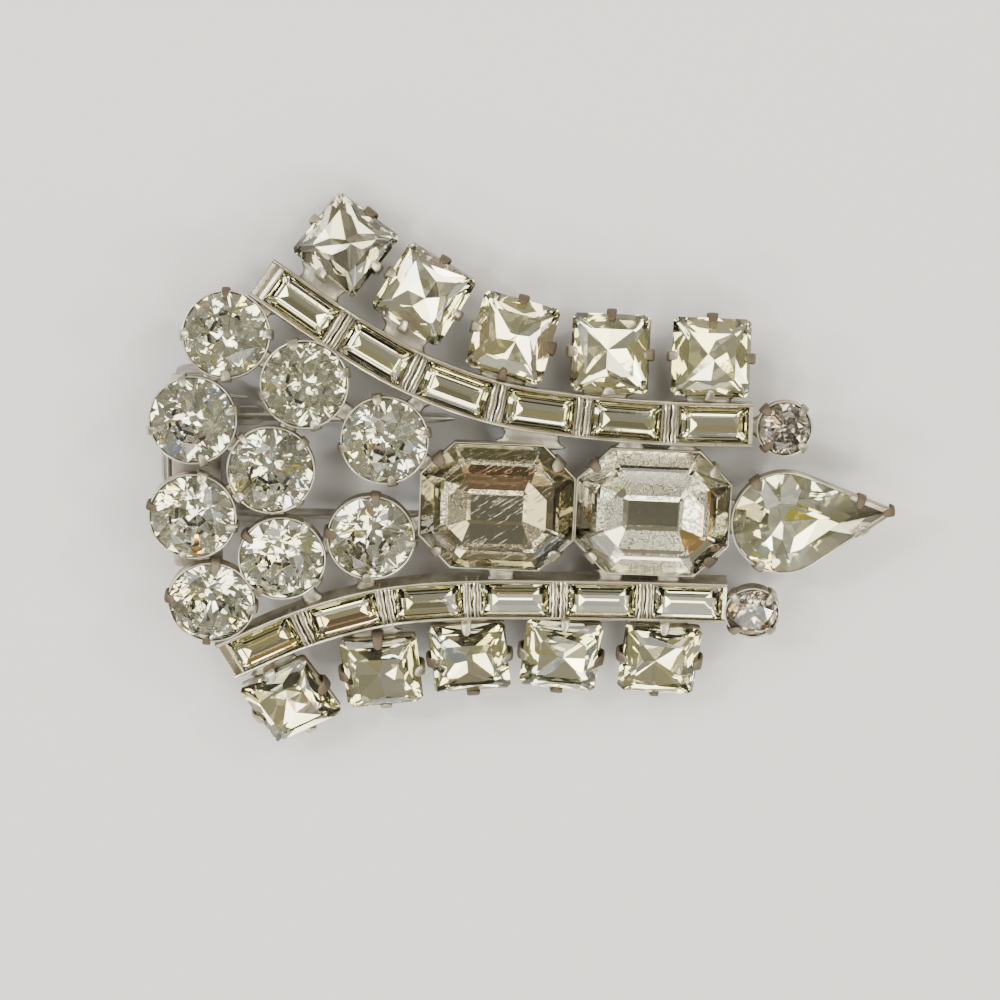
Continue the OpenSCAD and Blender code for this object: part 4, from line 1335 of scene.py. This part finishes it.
class CLIP_OT_fork(ClipPiece, bpy.types.Operator):
    """Makes the fork: barrel, thumb plate with the ridge of its fold, tabs and the two prongs."""

    bl_idname = "clip.fork"
    bl_label = "Fork"
    reads = ("clip_hinge",)

    # Distance from the pin's middle at which the tabs, prongs and thumb plate start in the barrel, in mm
    root = 0.3
    # A prong's end: the distance from its tip, and its radius; the first radius is the whole wire's
    taper = ((2.45, 0.425), (1.55, 0.40), (0.75, 0.31), (0.25, 0.20), (0.0, 0.10))
    # Distance that the thumb plate's edge bows back at its corners, in mm
    bow = 0.55
    # The fold: its height over the plate's face, and the share of its outline there
    fold = ((-0.05, 1.0), (0.06, 1.0), (0.12, 0.85))

    def build(self, hinge):
        place = hinge_frame()
        bm = metal_mesh()
        start, end = barrel_span(hinge)
        r = hinge.barrel_radius
        barrel = ((start, r * 0.94), (start + SOFT, r), (end - SOFT, r), (end, r * 0.94))
        sweep(bm, circle(36), [place @ shift(0, y, 0) @ LIE @ stretch(r, r) for y, r in barrel])
        for side in (-0.5, 0.5):
            lean = turn_about("Y", -math.degrees(hinge.prong_lean))
            self.prong(bm, hinge, place @ lean @ shift(0, side * hinge.prong_spacing, 0))
        self.thumb_plate(bm, hinge, place @ turn_about("Y", math.degrees(hinge.thumb_lean)))
        tarnish(bm, bm.verts, 0.28, SEEDS["fork"])
        piece("sprung_fork", bm, "fork", "fork", ["fork_steel"], smooth=40)

    def prong(self, bm, hinge, place):
        """A tab from the barrel with a rounded end, and the tapered wire that leaves it."""
        half_w = hinge.tab_width / 2
        nose = [(hinge.tab_length - half_w + half_w * math.cos(a), half_w * math.sin(a))
                for a in (math.radians(d) for d in range(-90, 91, 15))]
        tab = [(self.root, -half_w)] + nose + [(self.root, half_w)]
        slab(bm, tab, place, hinge.tab_thick / 2, (1, 0.94))
        wire = [(self.root, self.taper[0][1])] + [(hinge.prong_length - back, r) for back, r in self.taper]
        sweep(bm, circle(20), [place @ shift(x) @ STAND @ stretch(r, r) for x, r in wire])

    def thumb_plate(self, bm, hinge, place):
        """A plate whose free edge is a shallow curve, with a raised ridge for the bright fold line."""
        length, half_w, half_t = hinge.thumb_length, hinge.thumb_width / 2, hinge.thumb_thick / 2
        curve = [(-length + self.bow * (abs(y) / half_w) ** 2.5, y) for y in (
            -half_w + half_w * k / 8 for k in range(17))]
        plan = [(-self.root, -half_w)] + curve + [(-self.root, half_w)]
        slab(bm, plan, place, half_t, (0.975, 0.975))
        ridge = cut_plan(0.30, half_w * 0.80, 0.1, 2)
        sweep(bm, ridge, [place @ shift(-length + 0.62, 0, half_t + z) @ stretch(share, share)
                          for z, share in self.fold])


class CLIP_OT_hinge_spring(ClipPiece, bpy.types.Operator):
    """Winds the spring on the pin and lays its leg along the fork's tab."""

    bl_idname = "clip.hinge_spring"
    bl_label = "Hinge spring"
    reads = ("clip_hinge",)

    # Steps in each turn of the coil
    steps_round = 16

    def build(self, hinge):
        place = hinge_frame()
        wire = hinge.spring_wire
        radius = hinge.pin_radius + hinge.side_gap + wire / 2
        start = barrel_span(hinge)[1] + hinge.side_gap + wire
        # The leg lies along the tab, from its far end to the coil
        path = [Vector((hinge.tab_length * 0.75, start - 0.2, radius - 0.1)),
                Vector((hinge.tab_length * 0.4, start, radius))]
        for k in range(int(hinge.spring_turns * self.steps_round) + 1):
            turn = k / self.steps_round
            a = 2 * math.pi * turn
            path.append(Vector((
                -radius * math.sin(a), start + turn * wire * hinge.spring_pitch, radius * math.cos(a))))
        steps = []
        for i, point in enumerate(path):
            way = (path[min(i + 1, len(path) - 1)] - path[max(i - 1, 0)]).normalized()
            side = way.cross(Vector((0, 1, 0))).normalized()
            up = side.cross(way)
            steps.append(place @ Matrix([(*side, 0), (*up, 0), (*way, 0), (*point, 1)]).transposed())
        bm = metal_mesh()
        tarnish(bm, sweep(bm, circle(10, wire / 2), steps), 0.2, SEEDS["spring"])
        piece("coil_spring", bm, "fork", "hinge_spring", ["fork_steel"], smooth=60)


class CLIP_OT_stage(bpy.types.Operator):
    """Lays the pale floor, hangs the soft lights and sets the camera at the photograph's angle."""

    bl_idname = "clip.stage"
    bl_label = "Stage"

    # Each softbox: its way round from +X and up from the floor in degrees, its size in metres, glow and tint
    softboxes = (
        (20, 62, 0.24, 2.0, (1.0, 0.97, 0.90)), (68, 34, 0.20, 1.7, (1.0, 0.96, 0.88)),
        (120, 46, 0.25, 2.3, (1.0, 0.98, 0.92)), (160, 30, 0.20, 1.5, (0.94, 0.97, 1.0)),
        (205, 60, 0.22, 1.8, (1.0, 0.97, 0.90)), (250, 32, 0.22, 1.8, (1.0, 0.96, 0.88)),
        (292, 56, 0.22, 1.9, (1.0, 0.98, 0.94)), (335, 30, 0.20, 1.6, (0.95, 0.97, 1.0)),
        (38, 40, 0.045, 40.0, (1.0, 0.93, 0.80)), (150, 46, 0.045, 40.0, (0.90, 0.95, 1.0)),
        (228, 38, 0.040, 36.0, (1.0, 0.95, 0.85)), (318, 42, 0.040, 36.0, (1.0, 0.93, 0.80)))
    # In metres
    softbox_distance = 0.55
    floor_size = 3.0
    # Where the camera aims, in mm along the face and up it from the first octagon's middle
    aim_from_octagon = (0.24, 0.56)

    def execute(self, context):
        stage = context.scene.clip_stage
        bm = bmesh.new()
        bmesh.ops.create_grid(bm, x_segments=1, y_segments=1, size=self.floor_size)
        mesh = bpy.data.meshes.new("floor")
        bm.to_mesh(mesh)
        bm.free()
        floor = bpy.data.objects.new("floor", mesh)
        context.scene.collection.objects.link(floor)
        s = Shader("pale_floor")
        mesh.materials.append(s.finish(Base_Color=tuple(stage.floor_color), Roughness=0.75))
        for i, softbox in enumerate(self.softboxes):
            self.hang(context, f"softbox_{i + 1}", stage.light, *softbox)
        world = bpy.data.worlds.new("studio")
        world.use_nodes = True
        sky = world.node_tree.nodes["Background"]
        sky.inputs["Color"].default_value = (*stage.sky_color, 1)
        sky.inputs["Strength"].default_value = stage.sky
        context.scene.world = world
        self.aim_camera(context, stage)
        return {"FINISHED"}

    def hang(self, context, name, light, round_deg, up_deg, size, glow, tint):
        """Hangs one softbox facing the clip: its glow is what a mirror would see of it."""
        a, b = math.radians(round_deg), math.radians(up_deg)
        way = Vector((math.cos(a) * math.cos(b), math.sin(a) * math.cos(b), math.sin(b)))
        data = bpy.data.lights.new(name, "AREA")
        data.size = size
        data.energy = glow * light * math.pi * size * size
        data.color = tint
        lamp = bpy.data.objects.new(name, data)
        lamp.location = way * self.softbox_distance
        lamp.rotation_euler = (-way).to_track_quat("-Z", "Y").to_euler()
        context.scene.collection.objects.link(lamp)

    def aim_camera(self, context, stage):
        """The camera leans from the middle of the face towards the top edge, as the photograph does."""
        x, y, z = (hinge_frame().col[i].to_3d().normalized() for i in range(3))
        along, up_face = self.aim_from_octagon
        aim = SEATS[OCTAGONS[0]].origin + (x * along + y * up_face) * MM
        lean = stage.camera_lean
        back = y * math.sin(lean) + z * math.cos(lean)
        up = y * math.cos(lean) - z * math.sin(lean)
        data = bpy.data.cameras.new("camera")
        data.sensor_width = 36.0
        data.lens = stage.camera_distance * data.sensor_width / stage.view_width
        data.clip_start = 0.01
        camera = bpy.data.objects.new("camera", data)
        spot = aim + back * stage.camera_distance
        camera.matrix_world = Matrix([(*x, 0), (*up, 0), (*back, 0), (*spot, 1)]).transposed()
        context.scene.collection.objects.link(camera)
        context.scene.camera = camera


class CLIP_PT_panel(bpy.types.Panel):
    """Lists the clip's pieces in the sidebar."""

    bl_label = "Dress Clip"
    bl_space_type = "VIEW_3D"
    bl_region_type = "UI"
    bl_category = "Dress Clip"

    def draw(self, context):
        for name, group in GROUPS.items():
            box = self.layout.box()
            for key in group.__annotations__:
                box.prop(getattr(context.scene, name), key)
        for operator in OPERATORS:
            self.layout.operator(operator.bl_idname)


GROUPS = {
    "clip_stones": ClipStones, "clip_metal": ClipMetal, "clip_hinge": ClipHinge, "clip_stage": ClipStage}
OPERATORS = (
    CLIP_OT_round_stones, CLIP_OT_square_stones, CLIP_OT_baguettes, CLIP_OT_octagons, CLIP_OT_pear_stone,
    CLIP_OT_cups, CLIP_OT_claws, CLIP_OT_channel_bars, CLIP_OT_solder, CLIP_OT_hinge_bracket,
    CLIP_OT_hinge_pin, CLIP_OT_fork, CLIP_OT_hinge_spring, CLIP_OT_stage)


def register():
    for cls in (*GROUPS.values(), *OPERATORS, CLIP_PT_panel):
        bpy.utils.register_class(cls)
    for name, group in GROUPS.items():
        setattr(bpy.types.Scene, name, bpy.props.PointerProperty(type=group))


def unregister():
    for name in GROUPS:
        delattr(bpy.types.Scene, name)
    for cls in (CLIP_PT_panel, *reversed(OPERATORS), *reversed(GROUPS.values())):
        bpy.utils.unregister_class(cls)


def main():
    register()
    for operator in OPERATORS:
        group, name = operator.bl_idname.split(".")
        getattr(getattr(bpy.ops, group), name)()


if __name__ == "__main__":
    main()
